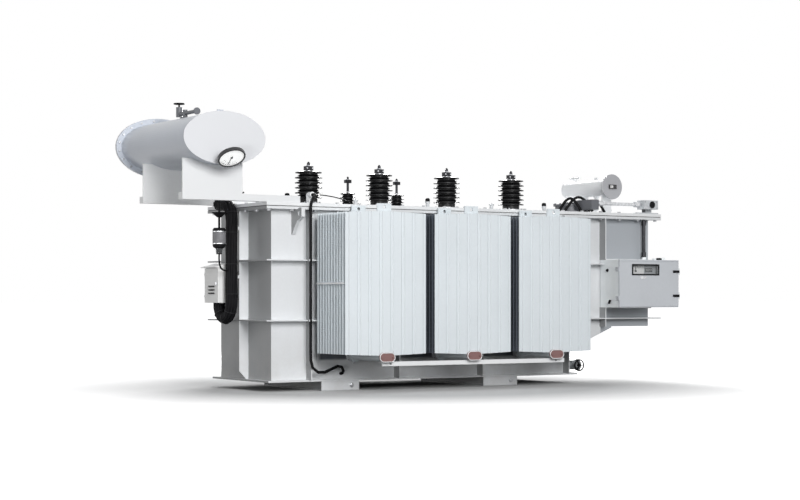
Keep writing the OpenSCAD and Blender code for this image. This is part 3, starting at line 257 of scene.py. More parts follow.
def tank_marks(tree, place, tone, colour, base, height):
    """Greyer walls of the tap changer's pocket, painted shade in a strip behind the radiators' feet, and
    painted shade on the faces that look to the left.
    """
    x, y, z = place
    aside = unsigned(tree, y)
    pocket = times(tree, spread(tree, x, POCKET_X - 0.0005, POCKET_X + 0.0005),
                   spread(tree, aside, POCKET_HALF_W + 0.0005, POCKET_HALF_W),
                   spread(tree, z, RIM_UNDERSIDE + 0.001, RIM_UNDERSIDE))
    grey = mixed(tree, tone, shade(POCKET_GREY, 0.95), shade(POCKET_GREY, 1.05))
    base = mixed(tree, pocket, base, grey)
    # Painted shade on the tank wall behind the radiators' feet, where the radiators keep the light off
    along = unsigned(tree, minus(tree, x, RADIATOR_X))
    strip = times(tree, spread(tree, along, STRIP_HALF_L + 0.03, STRIP_HALF_L),
                  spread(tree, aside, TANK_WALL_Y + 0.01, TANK_WALL_Y + 0.005),
                  spread(tree, z, STRIP_FOOT, STRIP_FOOT + 0.02),
                  spread(tree, z, STRIP_TOP + 0.02, STRIP_TOP))
    base = mixed(tree, strip, base, UNLIT_STRIP)
    # Painted shade: the faces that look to the left are darkened, as if they lay in shade
    painted_shade_left = spread(tree, split(tree, facing(tree))[0], -0.8, -0.95)
    return mixed(tree, painted_shade_left, base, shade(colour, 0.4)), height


def radiator_marks(tree, place, tone, colour, base, height):
    """Painted shade on the faces between the radiators and on the flute slopes that look left, and the
    welds between the flutes.
    """
    x, y, z = place
    # Painted shade on the faces between the radiators, behind their front edges
    along = unsigned(tree, minus(tree, x, RADIATOR_X))
    beside = unsigned(tree, minus(tree, along, RADIATOR_PITCH / 2))
    painted_shade_gap = times(tree, spread(tree, beside, 0.12, 0.1),
                spread(tree, unsigned(tree, y), RADIATOR_FRONT, RADIATOR_FRONT - 0.007))
    base = mixed(tree, painted_shade_gap, base, UNLIT_GAP)
    # Painted shade on the flute slopes that look to the left
    way = split(tree, facing(tree))[0]
    painted_shade_slope = times(tree, spread(tree, way, -0.4, -0.6), spread(tree, way, -0.95, -0.8))
    base = mixed(tree, painted_shade_slope, base, shade(colour, 0.8))
    spot, seam = panel_welds(tree, x, z)
    line = maths(tree, "MAXIMUM", spot, times(tree, seam, 0.6))
    base = mixed(tree, times(tree, line, 0.2), base, shade(colour, 0.75))
    return base, minus(tree, height, times(tree, spot, 0.9))


def panel_welds(tree, x, z):
    """Spot welds down the seams between a panel's flutes, and the faint seams."""
    half_pitch = RADIATOR_PITCH / 2
    panel = maths(tree, "WRAP", x, RADIATOR_X + half_pitch, RADIATOR_X - half_pitch)
    local = minus(tree, panel, RADIATOR_X)
    half_flute = FLUTE_PITCH / 2
    across = maths(tree, "WRAP", plus(tree, local, half_flute), half_flute, -half_flute)
    down = maths(tree, "WRAP", z, WELD_PITCH / 2, -WELD_PITCH / 2)
    spot = spread(tree, length(tree, across, down), 0.0055, 0.003)
    seam = spread(tree, unsigned(tree, across), 0.0022, 0.0008)
    return spot, seam


def metal(name, colour, rough=0.34, grain=140.0, dark=0.7, edge=0.001):
    """Plated or cast metal: patchy tone, fine grain and uneven polish."""
    mat, tree, bsdf = shader(name)
    coords = object_place(tree)
    patch = noise(tree, coords, grain / 6, 4.0)
    fine = noise(tree, coords, grain, 3.0)
    base = mixed(tree, spread(tree, patch, 0.35, 0.7), shade(colour, dark), shade(colour))
    put(tree, bsdf.inputs["Base Color"], base)
    bsdf.inputs["Metallic"].default_value = 1.0
    put(tree, bsdf.inputs["Roughness"], spread(tree, fine, 0.3, 0.7, rough - 0.08, rough + 0.12))
    normals(tree, bsdf, fine, 0.2, 0.0006, edge)
    return mat


def glaze(name, colour, rough=0.16, rings=0.0, streak=0.0, shine=0.5, coat=0.25):
    """Dark glazed or moulded surface with faint throwing rings and dust on its upper sides."""
    mat, tree, bsdf = shader(name)
    coords = object_place(tree)
    z = split(tree, coords)[2]
    cloud = noise(tree, coords, 11.0, 4.0)
    up = split(tree, facing(tree))[2]
    dust = times(tree, spread(tree, up, 0.3, 1.0), spread(tree, cloud, 0.35, 0.75))
    base = mixed(tree, cloud, shade(colour, 0.75), shade(colour, 1.3))
    base = mixed(tree, times(tree, dust, streak), base, SHED_DUST)
    put(tree, bsdf.inputs["Base Color"], base)
    put(tree, bsdf.inputs["Roughness"], spread(tree, cloud, 0.3, 0.7, rough, rough + 0.12))
    bsdf.inputs["Specular IOR Level"].default_value = shine
    bsdf.inputs["Coat Weight"].default_value = coat
    bsdf.inputs["Coat Roughness"].default_value = 0.08
    wave = maths(tree, "SINE", times(tree, z, 900.0))
    height = plus(tree, times(tree, cloud, 0.5), times(tree, wave, rings))
    normals(tree, bsdf, height, 0.2, 0.0008, 0.002)
    return mat


def rubber(name, colour, rough=0.62, ridges=0.0, scale=420.0, shine=0.22):
    """Matte sheath or moulding with a fine tooth, and lengthwise strands where asked."""
    mat, tree, bsdf = shader(name)
    coords = object_place(tree)
    fine = noise(tree, coords, scale, 3.0)
    base = mixed(tree, noise(tree, coords, 14.0), shade(colour, 0.7), shade(colour, 1.5))
    put(tree, bsdf.inputs["Base Color"], base)
    put(tree, bsdf.inputs["Roughness"], spread(tree, fine, 0.3, 0.7, rough - 0.1, rough + 0.12))
    bsdf.inputs["Specular IOR Level"].default_value = shine
    height = times(tree, fine, 0.4)
    if ridges:
        x, y = split(tree, coords)[:2]
        height = plus(tree, height, maths(tree, "SINE", times(tree, plus(tree, y, x), ridges)))
    normals(tree, bsdf, height, 0.5, 0.002 if ridges else 0.0006, 0.001)
    return mat


def wound(name, colour, pitch, rough=0.6):
    """Windings and laminations: fine level lines over a warm or grey base."""
    mat, tree, bsdf = shader(name)
    coords = object_place(tree)
    z = split(tree, coords)[2]
    line = maths(tree, "SINE", times(tree, z, 2 * math.pi / pitch))
    base = mixed(tree, spread(tree, line, -1.0, -0.6), shade(colour, 0.5), shade(colour))
    base = mixed(tree, times(tree, noise(tree, coords, 7.0), 0.3), base, shade(colour, 0.7))
    put(tree, bsdf.inputs["Base Color"], base)
    bsdf.inputs["Roughness"].default_value = rough
    normals(tree, bsdf, line, 0.4, 0.001, 0.0)
    return mat


def glass(name, alpha, tint=(0.9, 0.95, 0.97)):
    """Thin clear pane with a slightly uneven surface."""
    mat, tree, bsdf = shader(name)
    bsdf.inputs["Base Color"].default_value = shade(tint)
    bsdf.inputs["Roughness"].default_value = 0.05
    bsdf.inputs["Alpha"].default_value = alpha
    bsdf.inputs["IOR"].default_value = 1.45
    normals(tree, bsdf, noise(tree, object_place(tree), 30.0), 0.05, 0.0005, 0.0)
    return mat


def front_of(name):
    return corners(name)[0].y


white_paint = paint("white_paint", (0.86, 0.87, 0.88), 0.4)
tank_paint = paint("tank_paint", (0.77, 0.785, 0.8), dust=0.25, marks=tank_marks)
radiator_paint = paint("radiator_paint", (0.75, 0.803, 0.835), 0.4, 0.003, marks=radiator_marks)
# Painted light: the drum's front disc is lighter than its shell, as if lit while the shell lay in shade
drum_paint = paint("drum_paint", (0.625, 0.665, 0.735), 0.34, coat=0.3,
                   end=(front_of("conservator"), (0.735, 0.745, 0.77)))
small_drum_paint = paint("small_drum_paint", (0.93, 0.945, 0.96), 0.34, coat=0.3,
                         end=(front_of("small_conservator"), (0.43, 0.435, 0.455)))
# Painted light: behind their front faces the supports are painted lighter, standing in for light on the
# rear saddle under the drum
support_paint = paint("support_paint", (0.97, 0.98, 0.99), 0.4,
                      end=(front_of("conservator_supports"), (0.79, 0.8, 0.81)))
cabinet_paint = paint("cabinet_paint", (0.95, 0.95, 0.94), edge=0.003)
box_paint = paint("box_side_paint", (0.95, 0.985, 1.0), 0.4)
door_paint = paint("door_paint", (0.62, 0.645, 0.68), 0.38)
cap_paint = paint("cap_paint", (0.235, 0.125, 0.118), 0.45, 0.003)
cast_paint = paint("cast_paint", (0.33, 0.345, 0.36), 0.5, 0.003, peel=300.0)
dark_cast = paint("dark_cast", (0.13, 0.135, 0.15), 0.45, 0.003, peel=300.0)
valve_paint = paint("valve_paint", (0.62, 0.64, 0.66), 0.45, 0.003, peel=500.0)
zinc = metal("zinc", (0.62, 0.63, 0.65), 0.38)
plated = metal("plated", (0.74, 0.75, 0.77), 0.28, grain=220.0)
glazed = glaze("glazed", (0.008, 0.008, 0.009), 0.34, rings=0.15, streak=0.06, shine=0.25, coat=0.08)
black = rubber("black", (0.007, 0.007, 0.008), shine=0.12)
black_gloss = glaze("black_gloss", (0.018, 0.018, 0.02), 0.25)
trunk_black = rubber("trunk_black", (0.006, 0.006, 0.007), 0.6, ridges=330.0, shine=0.1)
gasket_rubber = rubber("gasket_rubber", (0.03, 0.03, 0.03), 0.7)
core_steel = wound("core_steel", (0.2, 0.21, 0.23), 0.004, 0.4)
copper = wound("copper", (0.5, 0.22, 0.1), 0.012, 0.45)
pressboard = wound("pressboard", (0.5, 0.36, 0.2), 0.02, 0.7)
pane = glass("pane", 0.07)
dial_white = paint("dial_white", (0.8, 0.8, 0.79), 0.5, 0.0, peel=1500.0)
# The dial's glow is painted light: the gauge has no lamp in it
gauge_white_painted_glow = paint("gauge_white_painted_glow", (0.93, 0.93, 0.92), 0.5, 0.0, peel=1500.0, glow=0.62)
ink = rubber("ink", (0.02, 0.02, 0.022), 0.5)
gel = rubber("gel", (0.2, 0.2, 0.21), 0.35, scale=260.0)
dark_metal = metal("dark_metal", (0.05, 0.05, 0.055), 0.4)

LOOKS = {
    tank_paint: ["tank", "lifting_lugs", "skids"],
    support_paint: ["conservator_supports"],
    white_paint: ["cover", "radiator_tie_bars", "radiator_bottom_rail", "conservator_cover", "cable_elbow",
                  "oil_pipes"],
    radiator_paint: ["radiator_%d" % i for i in range(1, 7)],
    drum_paint: ["conservator"],
    small_drum_paint: ["small_conservator"],
    cabinet_paint: ["control_cabinet", "control_cabinet_door"],
    box_paint: ["motor_box"],
    door_paint: ["motor_box_door"],
    cap_paint: ["radiator_caps"],
    cast_paint: ["gas_relay", "drain_valve", "drive_unit"],
    dark_cast: ["filler_valve", "tap_changer_head"],
    valve_paint: ["radiator_valves", "bevel_gearbox"],
    zinc: ["flange_bolts", "bushing_clamps", "level_float"],
    plated: ["horizontal_shaft"],
    dark_metal: ["bushing_terminals", "vertical_shaft"],
    glazed: ["hv_bushing_%d" % i for i in range(1, 5)] + ["lv_bushing_%d" % i for i in range(1, 4)],
    black: ["filler_handwheel", "drain_handwheel", "front_cable", "breather_pipe", "breather"],
    black_gloss: ["level_gauge", "level_pointer", "position_pointer", "small_conservator_gauge"],
    trunk_black: ["cable_trunk"],
    gasket_rubber: ["cover_gasket"],
    core_steel: ["core", "core_clamps"],
    copper: ["lv_windings"],
    pressboard: ["hv_windings", "tap_changer_vessel"],
    pane: ["door_window"],
}
for look, names in LOOKS.items():
    for name in names:
        mesh = frame["nodes"][name].data
        mesh.materials.clear()
        mesh.materials.append(look)


# Mesh helpers
class Piece:
    """One piece: its shapes are gathered in one bmesh and made into an object by done."""

    def __init__(self):
        self.bm = bmesh.new()

    def face(self, points):
        self.bm.faces.new([self.bm.verts.new(point) for point in points])

    def box(self, low, high, bevel=0.0, turn=None):
        low, high = Vector(low), Vector(high)
        made = bmesh.ops.create_cube(self.bm, size=1.0)["verts"]
        sized = Matrix.Diagonal((*(high - low), 1.0))
        matrix = Matrix.Translation((low + high) / 2) @ (turn or Matrix()) @ sized
        bmesh.ops.transform(self.bm, matrix=matrix, verts=made)
        if bevel:
            edges = list({e for v in made for e in v.link_edges})
            bmesh.ops.bevel(self.bm, geom=edges, offset=bevel, segments=2, profile=0.6, affect="EDGES")

    def turned(self, profile, matrix, steps=32):
        """A turned solid round local Z, from pairs of radius and height."""
        rings = []
        for radius, height in profile:
            if radius < 1e-6:
                rings.append([self.bm.verts.new(matrix @ Vector((0, 0, height)))])
                continue
            around = [Vector((radius * math.cos(a), radius * math.sin(a), height)) for a in turns(steps)]
            rings.append([self.bm.verts.new(matrix @ point) for point in around])
        for low, high in zip(rings, rings[1:]):
            for k in range(steps):
                n = (k + 1) % steps
                if len(low) == 1 and len(high) == 1:
                    continue
                if len(low) == 1:
                    vertices = [low[0], high[n], high[k]]
                elif len(high) == 1:
                    vertices = [low[k], low[n], high[0]]
                else:
                    vertices = [low[k], low[n], high[n], high[k]]
                self.bm.faces.new(vertices)

    def hexagon(self, matrix, radius, height, washer=0.0):
        """A hexagon head or nut with a chamfered top, on a washer where asked."""
        if washer:
            thick = height * 0.18
            self.turned([(0, 0), (washer, 0), (washer, thick), (0, thick)], matrix, 20)
        chamfer = 0.86
        self.turned([(0, 0), (radius, 0), (radius, height * chamfer), (radius * chamfer, height),
                     (0, height)], matrix, 6)

    def tube(self, points, radius, steps=12):
        """A round rod along a short route of points."""
        points = [Vector(p) for p in points]
        side = None
        rings = []
        for i, point in enumerate(points):
            way = heading(points, i)
            if side is None:
                side = way.orthogonal().normalized()
            side = (side - way * side.dot(way)).normalized()
            up = way.cross(side)
            rings.append([self.bm.verts.new(point + radius * (math.cos(a) * side + math.sin(a) * up))
                          for a in turns(steps)])
        for low, high in zip(rings, rings[1:]):
            for k in range(steps):
                n = (k + 1) % steps
                self.bm.faces.new([low[k], low[n], high[n], high[k]])
        self.bm.faces.new(rings[0][::-1])
        self.bm.faces.new(rings[-1])

    def done(self, name, look, body=ROOT, smooth=35.0):
        bmesh.ops.recalc_face_normals(self.bm, faces=self.bm.faces)
        mesh = bpy.data.meshes.new(name)
        self.bm.to_mesh(mesh)
        self.bm.free()
        mesh.materials.append(look)
        made = bpy.data.objects.new(name, mesh)
        scene.collection.objects.link(made)
        for polygon in mesh.polygons:
            polygon.use_smooth = True
        mesh.set_sharp_from_angle(angle=math.radians(smooth))
        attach(made, body)


def turns(steps):
    """The angles of a circle's points."""
    return [2 * math.pi * k / steps for k in range(steps)]


def heading(points, i):
    """The way that a route takes at one of its points."""
    return (points[min(i + 1, len(points) - 1)] - points[max(i - 1, 0)]).normalized()


def at(x, y, z, turn=None):
    place = Matrix.Translation((x, y, z))
    return place @ turn if turn else place


def turned(axis, degrees):
    return Matrix.Rotation(math.radians(degrees), 4, axis)


FACING_FRONT = turned("X", 90)
FACING_BACK = turned("X", -90)
FACING_LEFT = turned("Y", -90)


def outward(side):
    """The turn of a bolt on the front (side -1) or the back (side 1)."""
    return FACING_FRONT if side < 0 else FACING_BACK


def words(name, text, size, matrix, look, body=ROOT):
    """Plain numbers for a dial, as a thin text."""
    curve = bpy.data.curves.new(name, "FONT")
    curve.body = text
    curve.size = size
    curve.align_x = "CENTER"
    curve.align_y = "CENTER"
    curve.extrude = 0.0002
    curve.resolution_u = 3
    made = bpy.data.objects.new(name, curve)
    scene.collection.objects.link(made)
    made.matrix_world = matrix
    curve.materials.append(look)
    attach(made, body)


# Level gauge: dial, ticks, numbers, bezel and glass, tilted towards the ground
GAUGE_TURN = turned("X", 145)
GAUGE = Matrix.Translation(pivot("gauge_pointer")) @ GAUGE_TURN
GAUGE_R = 0.122
DIAL_R = GAUGE_R - 0.0105
DIAL_Z = -0.0084
TICK_R = GAUGE_R - 0.018
SCALE_START = -50
SCALE_TURN = 100
TICKS = 40


def gauge_way(degrees):
    """The turn from the gauge's middle towards a mark of its scale."""
    return GAUGE @ turned("Z", 180 - degrees)


face = Piece()
face.turned([(0, DIAL_Z - 0.0005), (DIAL_R, DIAL_Z - 0.0005), (DIAL_R, DIAL_Z), (0, DIAL_Z)], GAUGE, 64)
face.done("gauge_dial", gauge_white_painted_glow)
marks = Piece()
for k in range(TICKS + 1):
    turn = gauge_way(SCALE_START + SCALE_TURN * k / TICKS)
    reach, half = (0.022, 0.0016) if k % 8 == 0 else (0.011, 0.0008)
    inner = TICK_R - reach
    marks.face([turn @ Vector((x, r, DIAL_Z + 0.0003)) for x, r in
                ((-half, TICK_R), (half, TICK_R), (half, inner), (-half, inner))])
marks.done("gauge_ticks", ink)
for k in range(6):
    centre = gauge_way(SCALE_START + SCALE_TURN * k / 5) @ Vector((0, GAUGE_R - 0.056, DIAL_Z + 0.0002))
    place = Matrix.Translation(centre) @ GAUGE_TURN @ turned("Z", 180)
    words("gauge_number_%d" % k, str(2 * k), 0.02, place, ink)
bezel = Piece()
bezel.turned([(GAUGE_R - 0.012, -0.006), (GAUGE_R - 0.013, 0.0), (GAUGE_R - 0.010, 0.0035),
              (GAUGE_R - 0.003, 0.0035), (GAUGE_R + 0.002, 0.0), (GAUGE_R + 0.002, -0.024),
              (GAUGE_R - 0.001, -0.026)], GAUGE, 64)
for k in range(8):
    bezel.hexagon(GAUGE @ turned("Z", 22.5 + 45 * k) @ at(GAUGE_R - 0.0065, 0, 0.0032), 0.0034, 0.0022)
bezel.done("gauge_bezel", black_gloss)
LENS_R = GAUGE_R - 0.0115
lens = Piece()
lens.turned([(0, 0.0005), (GAUGE_R - 0.06, 0.0), (LENS_R, -0.0022), (LENS_R, -0.0035), (0, -0.0012)],
            GAUGE, 48)
lens.done("gauge_glass", pane)

# Small conservator's gauge: a light scale with its ticks
gauge_low, gauge_high = corners("small_conservator_gauge")
strip = Piece()
strip.box((gauge_low.x + 0.008, gauge_low.y - 0.0012, gauge_low.z + 0.008),
          (gauge_low.x + 0.044, gauge_low.y + 0.001, gauge_high.z - 0.008), 0.0006)
strip.done("small_gauge_scale", dial_white)
ticks = Piece()
for k in range(7):
    z = gauge_low.z + 0.012 + k * 0.0033
    ticks.box((gauge_low.x + 0.012, gauge_low.y - 0.0015, z),
              (gauge_low.x + (0.03 if k % 3 == 0 else 0.022), gauge_low.y - 0.001, z + 0.0008))
ticks.done("small_gauge_ticks", ink)

# Window of the motor drive: frame, dial plate, arc of ticks and numbers, and a counter
door_low, door_high = corners("motor_box_door")
box_low, box_high = corners("motor_box")
unit_front = front_of("drive_unit")
PANE_LAP = Vector((0.012, 0, 0.012))
pane_low, pane_high = corners("door_window")
WINDOW = pane_low + PANE_LAP
WINDOW_W = (pane_high - pane_low).x - 2 * PANE_LAP.x
WINDOW_H = (pane_high - pane_low).z - 2 * PANE_LAP.z
LIP = 0.014
gasket = Piece()
for low, high in (((-LIP, -LIP), (WINDOW_W + LIP, 0)), ((-LIP, WINDOW_H), (WINDOW_W + LIP, WINDOW_H + LIP)),
                  ((-LIP, 0), (0, WINDOW_H)), ((WINDOW_W, 0), (WINDOW_W + LIP, WINDOW_H))):
    gasket.box((WINDOW.x + low[0], door_low.y - 0.004, WINDOW.z + low[1]),
               (WINDOW.x + high[0], door_low.y + 0.0025, WINDOW.z + high[1]), 0.0015)
gasket.done("window_frame", black, "motor_box_door")
plate = Piece()
plate.box((WINDOW.x - 0.012, unit_front - 0.001, WINDOW.z - 0.016),
          (WINDOW.x + 0.192, unit_front + 0.001, WINDOW.z + WINDOW_H + 0.016), 0.0008)
plate.done("drive_dial_plate", dial_white)

POINTER = pivot("position_turn")
POINTER.y = unit_front - 0.0012
STEPS = 16
STEP_TURN = 7.5
FIRST_TICK = 150
ARC_START = 152
ARC_TURN = 124
ARC_PARTS = 40


def on_dial(degrees, radius):
    """A point on the drive's dial."""
    angle = math.radians(degrees)
    return POINTER + Vector((math.cos(angle) * radius, 0, math.sin(angle) * radius))


arc = Piece()
for k in range(STEPS + 1):
    degrees = FIRST_TICK - STEP_TURN * k
    angle = math.radians(degrees)
    across = Vector((math.sin(angle), 0, -math.cos(angle))) * 0.0007
    near = on_dial(degrees, 0.052)
    far = on_dial(degrees, 0.062 if k % 4 else 0.068)
    arc.face([near - across, near + across, far + across, far - across])
for k in range(ARC_PARTS):
    arc.face([on_dial(ARC_START - ARC_TURN * j / ARC_PARTS, radius) for j, radius in
              ((k, 0.0495), (k + 1, 0.0495), (k + 1, 0.0515), (k, 0.0515))])
arc.done("drive_dial_ticks", ink)
for k in range(0, STEPS + 1, 4):
    angle = math.radians(FIRST_TICK - STEP_TURN * k)
    place = at(POINTER.x + 0.078 * math.cos(angle), POINTER.y, POINTER.z + 0.074 * math.sin(angle),
               FACING_FRONT)
    words("drive_number_%d" % (k + 1), str(k + 1), 0.011, place, ink)
counter = Piece()
counter.box((WINDOW.x + 0.205, unit_front - 0.009, WINDOW.z + 0.02),
            (WINDOW.x + 0.295, unit_front - 0.0005, WINDOW.z + 0.06), 0.002)
counter.done("drive_counter", black_gloss)
for k in range(5):
    place = at(WINDOW.x + 0.218 + 0.016 * k, unit_front - 0.0093, WINDOW.z + 0.04, FACING_FRONT)
    words("drive_digit_%d" % k, "0", 0.018, place, dial_white)

# Door of the motor box: folded edges, hinge leaves with their screws, and a blank plate
HINGE_X = pivot("motor_door").x
HINGE_ZS = (0.871, 1.117)
LATCH_ZS = (0.846, 1.136)
FOLD_IN = 0.012
FOLD_W = 0.0025
folds = Piece()
for z in (door_low.z + FOLD_IN, door_high.z - FOLD_IN - FOLD_W):
    folds.box((door_low.x + 0.022, door_low.y - 0.0012, z),
              (door_high.x - 0.03, door_low.y + 0.001, z + FOLD_W), 0.0008)
folds.done("door_folds", door_paint, "motor_box_door")
leaves = Piece()
for z in HINGE_ZS:
    leaves.box((HINGE_X - 0.088, door_low.y - 0.0062, z - 0.0125),
               (HINGE_X - 0.004, door_low.y + 0.001, z + 0.0125), 0.002)
    for k in (-1, 0, 1):
        leaves.turned([(0.0045, 0), (0.0045, 0.0015), (0.002, 0.0028), (0, 0.0028)],
                      at(HINGE_X - 0.05 + 0.022 * k, door_low.y - 0.0062, z, FACING_FRONT), 14)
leaves.done("door_hinge_leaves", black, "motor_box_door")

# Side of the motor box: latches, a round grip with its stay, and a vent cap on top
latches = Piece()
for z in LATCH_ZS:
    latches.box((box_low.x - 0.004, box_low.y + 0.010, z - 0.022),
                (box_low.x + 0.001, box_low.y + 0.062, z + 0.022), 0.0015)
    latches.box((box_low.x - 0.009, box_low.y + 0.018, z - 0.012),
                (box_low.x - 0.003, box_low.y + 0.05, z + 0.012), 0.003)
latches.done("box_latches", plated)
grip = Piece()
grip.turned([(0.016, 0), (0.016, 0.004), (0.012, 0.006), (0.012, 0.014), (0.009, 0.017), (0, 0.017)],
            at(box_low.x - 0.0002, box_low.y + 0.19, 1.127, FACING_LEFT), 28)
grip.box((box_low.x - 0.020, box_low.y + 0.14, 0.790), (box_low.x + 0.001, box_low.y + 0.155, 0.83), 0.003,
         turned("X", 30))
grip.done("box_grip", black)
vent = Piece()
vent.turned([(0.034, 0), (0.036, 0.006), (0.034, 0.018), (0.02, 0.022), (0, 0.022)],
            at(box_high.x - 0.23, box_low.y + 0.07, door_high.z), 28)
vent.done("box_vent_cap", black)
blank = Piece()
blank.box((WINDOW.x + 0.09, door_low.y - 0.0014, WINDOW.z - 0.052),
          (WINDOW.x + 0.17, door_low.y + 0.001, WINDOW.z - 0.022), 0.0008)
blank.done("door_blank_plate", plated, "motor_box_door")

# Radiator valves: nuts on both flanges, and the square ends of the spindles
VALVE_BOLT_R = 0.0505
VALVE_FAR = TANK_WALL_Y + 0.0555
VALVE_NEAR = TANK_WALL_Y + 0.0145
SPINDLE_Y = 0.54
nuts = Piece()
for x in RADIATOR_XS:
    for z in HEADER_ZS:
        for side in (-1, 1):
            for k in range(4):
                angle = math.radians(45 + 90 * k)
                bolt_x = x + VALVE_BOLT_R * math.cos(angle)
                bolt_z = z + VALVE_BOLT_R * math.sin(angle)
                nuts.hexagon(at(bolt_x, side * VALVE_FAR, bolt_z, outward(-side)), 0.0055, 0.005)
                nuts.hexagon(at(bolt_x, side * VALVE_NEAR, bolt_z, outward(side)), 0.0055, 0.005)
nuts.done("valve_nuts", zinc)
squares = Piece()
for x in RADIATOR_XS:
    for z in HEADER_ZS:
        for side in (-1, 1):
            y = side * SPINDLE_Y
            squares.box((x - 0.007, y - 0.007, z - 0.0705), (x + 0.007, y + 0.007, z - 0.062), 0.001)
squares.done("valve_squares", plated)

# White rims round the caps of the lower headers, straight above and below and round at the ends
CAP_HALF_STRAIGHT = 0.038
RIM_R = 0.0405
RIM_Y = corners("radiator_caps")[1].y - 0.0075
RIM_PARTS = 48
for index, x in enumerate(RADIATOR_XS):
    for side, end_name in ((-1, "front"), (1, "rear")):
        loop = []
        for k in range(RIM_PARTS + 1):
            angle = 2 * math.pi * k / RIM_PARTS
            across = math.cos(angle)
            shift = CAP_HALF_STRAIGHT if across > 0 else -CAP_HALF_STRAIGHT
            loop.append((x + shift + RIM_R * across, side * RIM_Y, HEADER_LOW + RIM_R * math.sin(angle)))
        rim = Piece()
        rim.tube(loop, 0.0042, 8)
        rim.done("cap_rim_%d_%s" % (index + 1, end_name), white_paint)

# Bolts of the tap changer's head and of the bevel gearbox, and the gearbox's round cap
CHANGER = Vector((2.03, -0.19, DECK + 0.112))
CHANGER_BOLT_R = 0.05
gear_low = corners("bevel_gearbox")[0]
bolts = Piece()
for k in range(8):
    angle = math.radians(22.5 + 45 * k)
    bolt_x = CHANGER.x + CHANGER_BOLT_R * math.cos(angle)
    bolt_y = CHANGER.y + CHANGER_BOLT_R * math.sin(angle)
    bolts.hexagon(at(bolt_x, bolt_y, CHANGER.z), 0.0065, 0.006, 0.009)
for x in (gear_low.x + 0.045, gear_low.x + 0.195):
    for z in (DECK + 0.062, DECK + 0.122):
        bolts.hexagon(at(x, gear_low.y + 0.014, z, FACING_FRONT), 0.0065, 0.006, 0.009)
bolts.done("drive_bolts", zinc)
cap = Piece()
cap.turned([(0.034, 0), (0.036, 0.004), (0.03, 0.008), (0.016, 0.008), (0.014, 0.004), (0, 0.004)],
           at(gear_low.x + 0.121, gear_low.y, pivot("horizontal_drive").z, FACING_FRONT), 36)
cap.done("gearbox_cap", black)

# Control cabinet: louvre hoods and a quarter-turn lock
cabinet_low = corners("control_cabinet_door")[0]
LOCK_Y = cabinet_low.y + 0.023
LOCK_Z = cabinet_low.z + 0.177
hoods = Piece()
for k in range(3):
    z = cabinet_low.z + 0.087 + 0.032 * k
    hoods.box((cabinet_low.x - 0.006, cabinet_low.y + 0.068, z - 0.003),
              (cabinet_low.x + 0.002, cabinet_low.y + 0.192, z + 0.007), 0.003, turned("Y", -25))
hoods.done("cabinet_louvres", ink, "control_cabinet_door")
lock = Piece()
lock.turned([(0.014, 0), (0.014, 0.003), (0.011, 0.006), (0, 0.006)],
            at(cabinet_low.x + 0.0002, LOCK_Y, LOCK_Z, FACING_LEFT), 28)
lock.box((cabinet_low.x - 0.010, LOCK_Y - 0.002, LOCK_Z - 0.014),
         (cabinet_low.x - 0.004, LOCK_Y + 0.002, LOCK_Z + 0.014), 0.001)
lock.done("cabinet_lock", plated, "control_cabinet_door")

# Breather: drying gel behind a window, the oil cup, and two hoops; heights are above its foot
BREATHER = middle("breather_pipe")
BREATHER.z = corners("breather")[0].z
gel_column = Piece()
gel_column.turned([(0.0602, 0.096), (0.0608, 0.1), (0.0608, 0.195), (0.0602, 0.2)], at(*BREATHER), 40)
gel_column.done("breather_gel", gel)
cup = Piece()
cup.turned([(0.026, 0.002), (0.04, 0.008), (0.042, 0.052), (0.031, 0.058)], at(*BREATHER), 32)
cup.done("breather_cup", pane)
for k, z in enumerate((0.092, 0.202)):
    hoop = Piece()
    hoop.turned([(0.06, z), (0.0625, z + 0.001), (0.0625, z + 0.008), (0.06, z + 0.009)], at(*BREATHER), 40)
    hoop.done("breather_hoop_%d" % (k + 1), plated)

# Bushing tops: washers and nuts on the studs, and bolts through the flags
HV = Vector((-1.02, -0.174, corners("hv_bushing_1")[1].z))
HV_PITCH = 0.774
LV = Vector((-0.36, 0.226, corners("lv_bushing_1")[1].z))
LV_PITCH = 0.56
tops = Piece()
for i in range(4):
    x = HV.x + HV_PITCH * i
    tops.turned([(0.0155, 0), (0.034, 0), (0.034, 0.004), (0.0155, 0.004)], at(x, HV.y, HV.z + 0.0005), 28)
    tops.hexagon(at(x, HV.y, HV.z + 0.0452), 0.025, 0.011)
    for k in (-1, 1):
        tops.hexagon(at(x + 0.0285 * k, HV.y - 0.0241, HV.z + 0.0255, FACING_FRONT), 0.009, 0.007)
for i in range(3):
    x = LV.x + LV_PITCH * i
    tops.turned([(0.0125, 0), (0.026, 0), (0.026, 0.003), (0.0125, 0.003)], at(x, LV.y, LV.z + 0.0005), 28)
    tops.hexagon(at(x, LV.y, LV.z + 0.1225), 0.02, 0.009)
tops.done("terminal_nuts", plated)

# Small fittings on the cover: thermometer pockets, some with a black cap, and lifting eyes
POCKETS = ((-1.38, -0.42), (-0.62, -0.36), (0.16, -0.4), (0.92, -0.38), (1.62, -0.3), (2.62, -0.1))
EYES = ((-1.28, 0.02), (1.5, 0.02))
EYE_R = 0.038
pockets = Piece()
for x, y in POCKETS:
    pockets.turned([(0.03, 0), (0.03, 0.008), (0.018, 0.01), (0.018, 0.042), (0.024, 0.044), (0.024, 0.06),
                    (0.01, 0.066), (0, 0.066)], at(x, y, DECK), 24)
pockets.done("cover_pockets", valve_paint)
caps = Piece()
for x, y in POCKETS[::2]:
    caps.turned([(0.021, 0.062), (0.023, 0.066), (0.021, 0.088), (0.012, 0.094), (0, 0.094)],
                at(x, y, DECK), 24)
caps.done("cover_caps", black)
eyes = Piece()
for x, y in EYES:
    eyes.tube([(x, y + EYE_R * math.cos(a), DECK + 0.034 + EYE_R * math.sin(a))
               for a in (2 * math.pi * k / 32 - math.pi / 2 for k in range(33))], 0.0075, 10)
    eyes.turned([(0.024, 0), (0.024, 0.006), (0.012, 0.01), (0, 0.01)], at(x, y, DECK), 24)
eyes.done("cover_eyes", zinc)

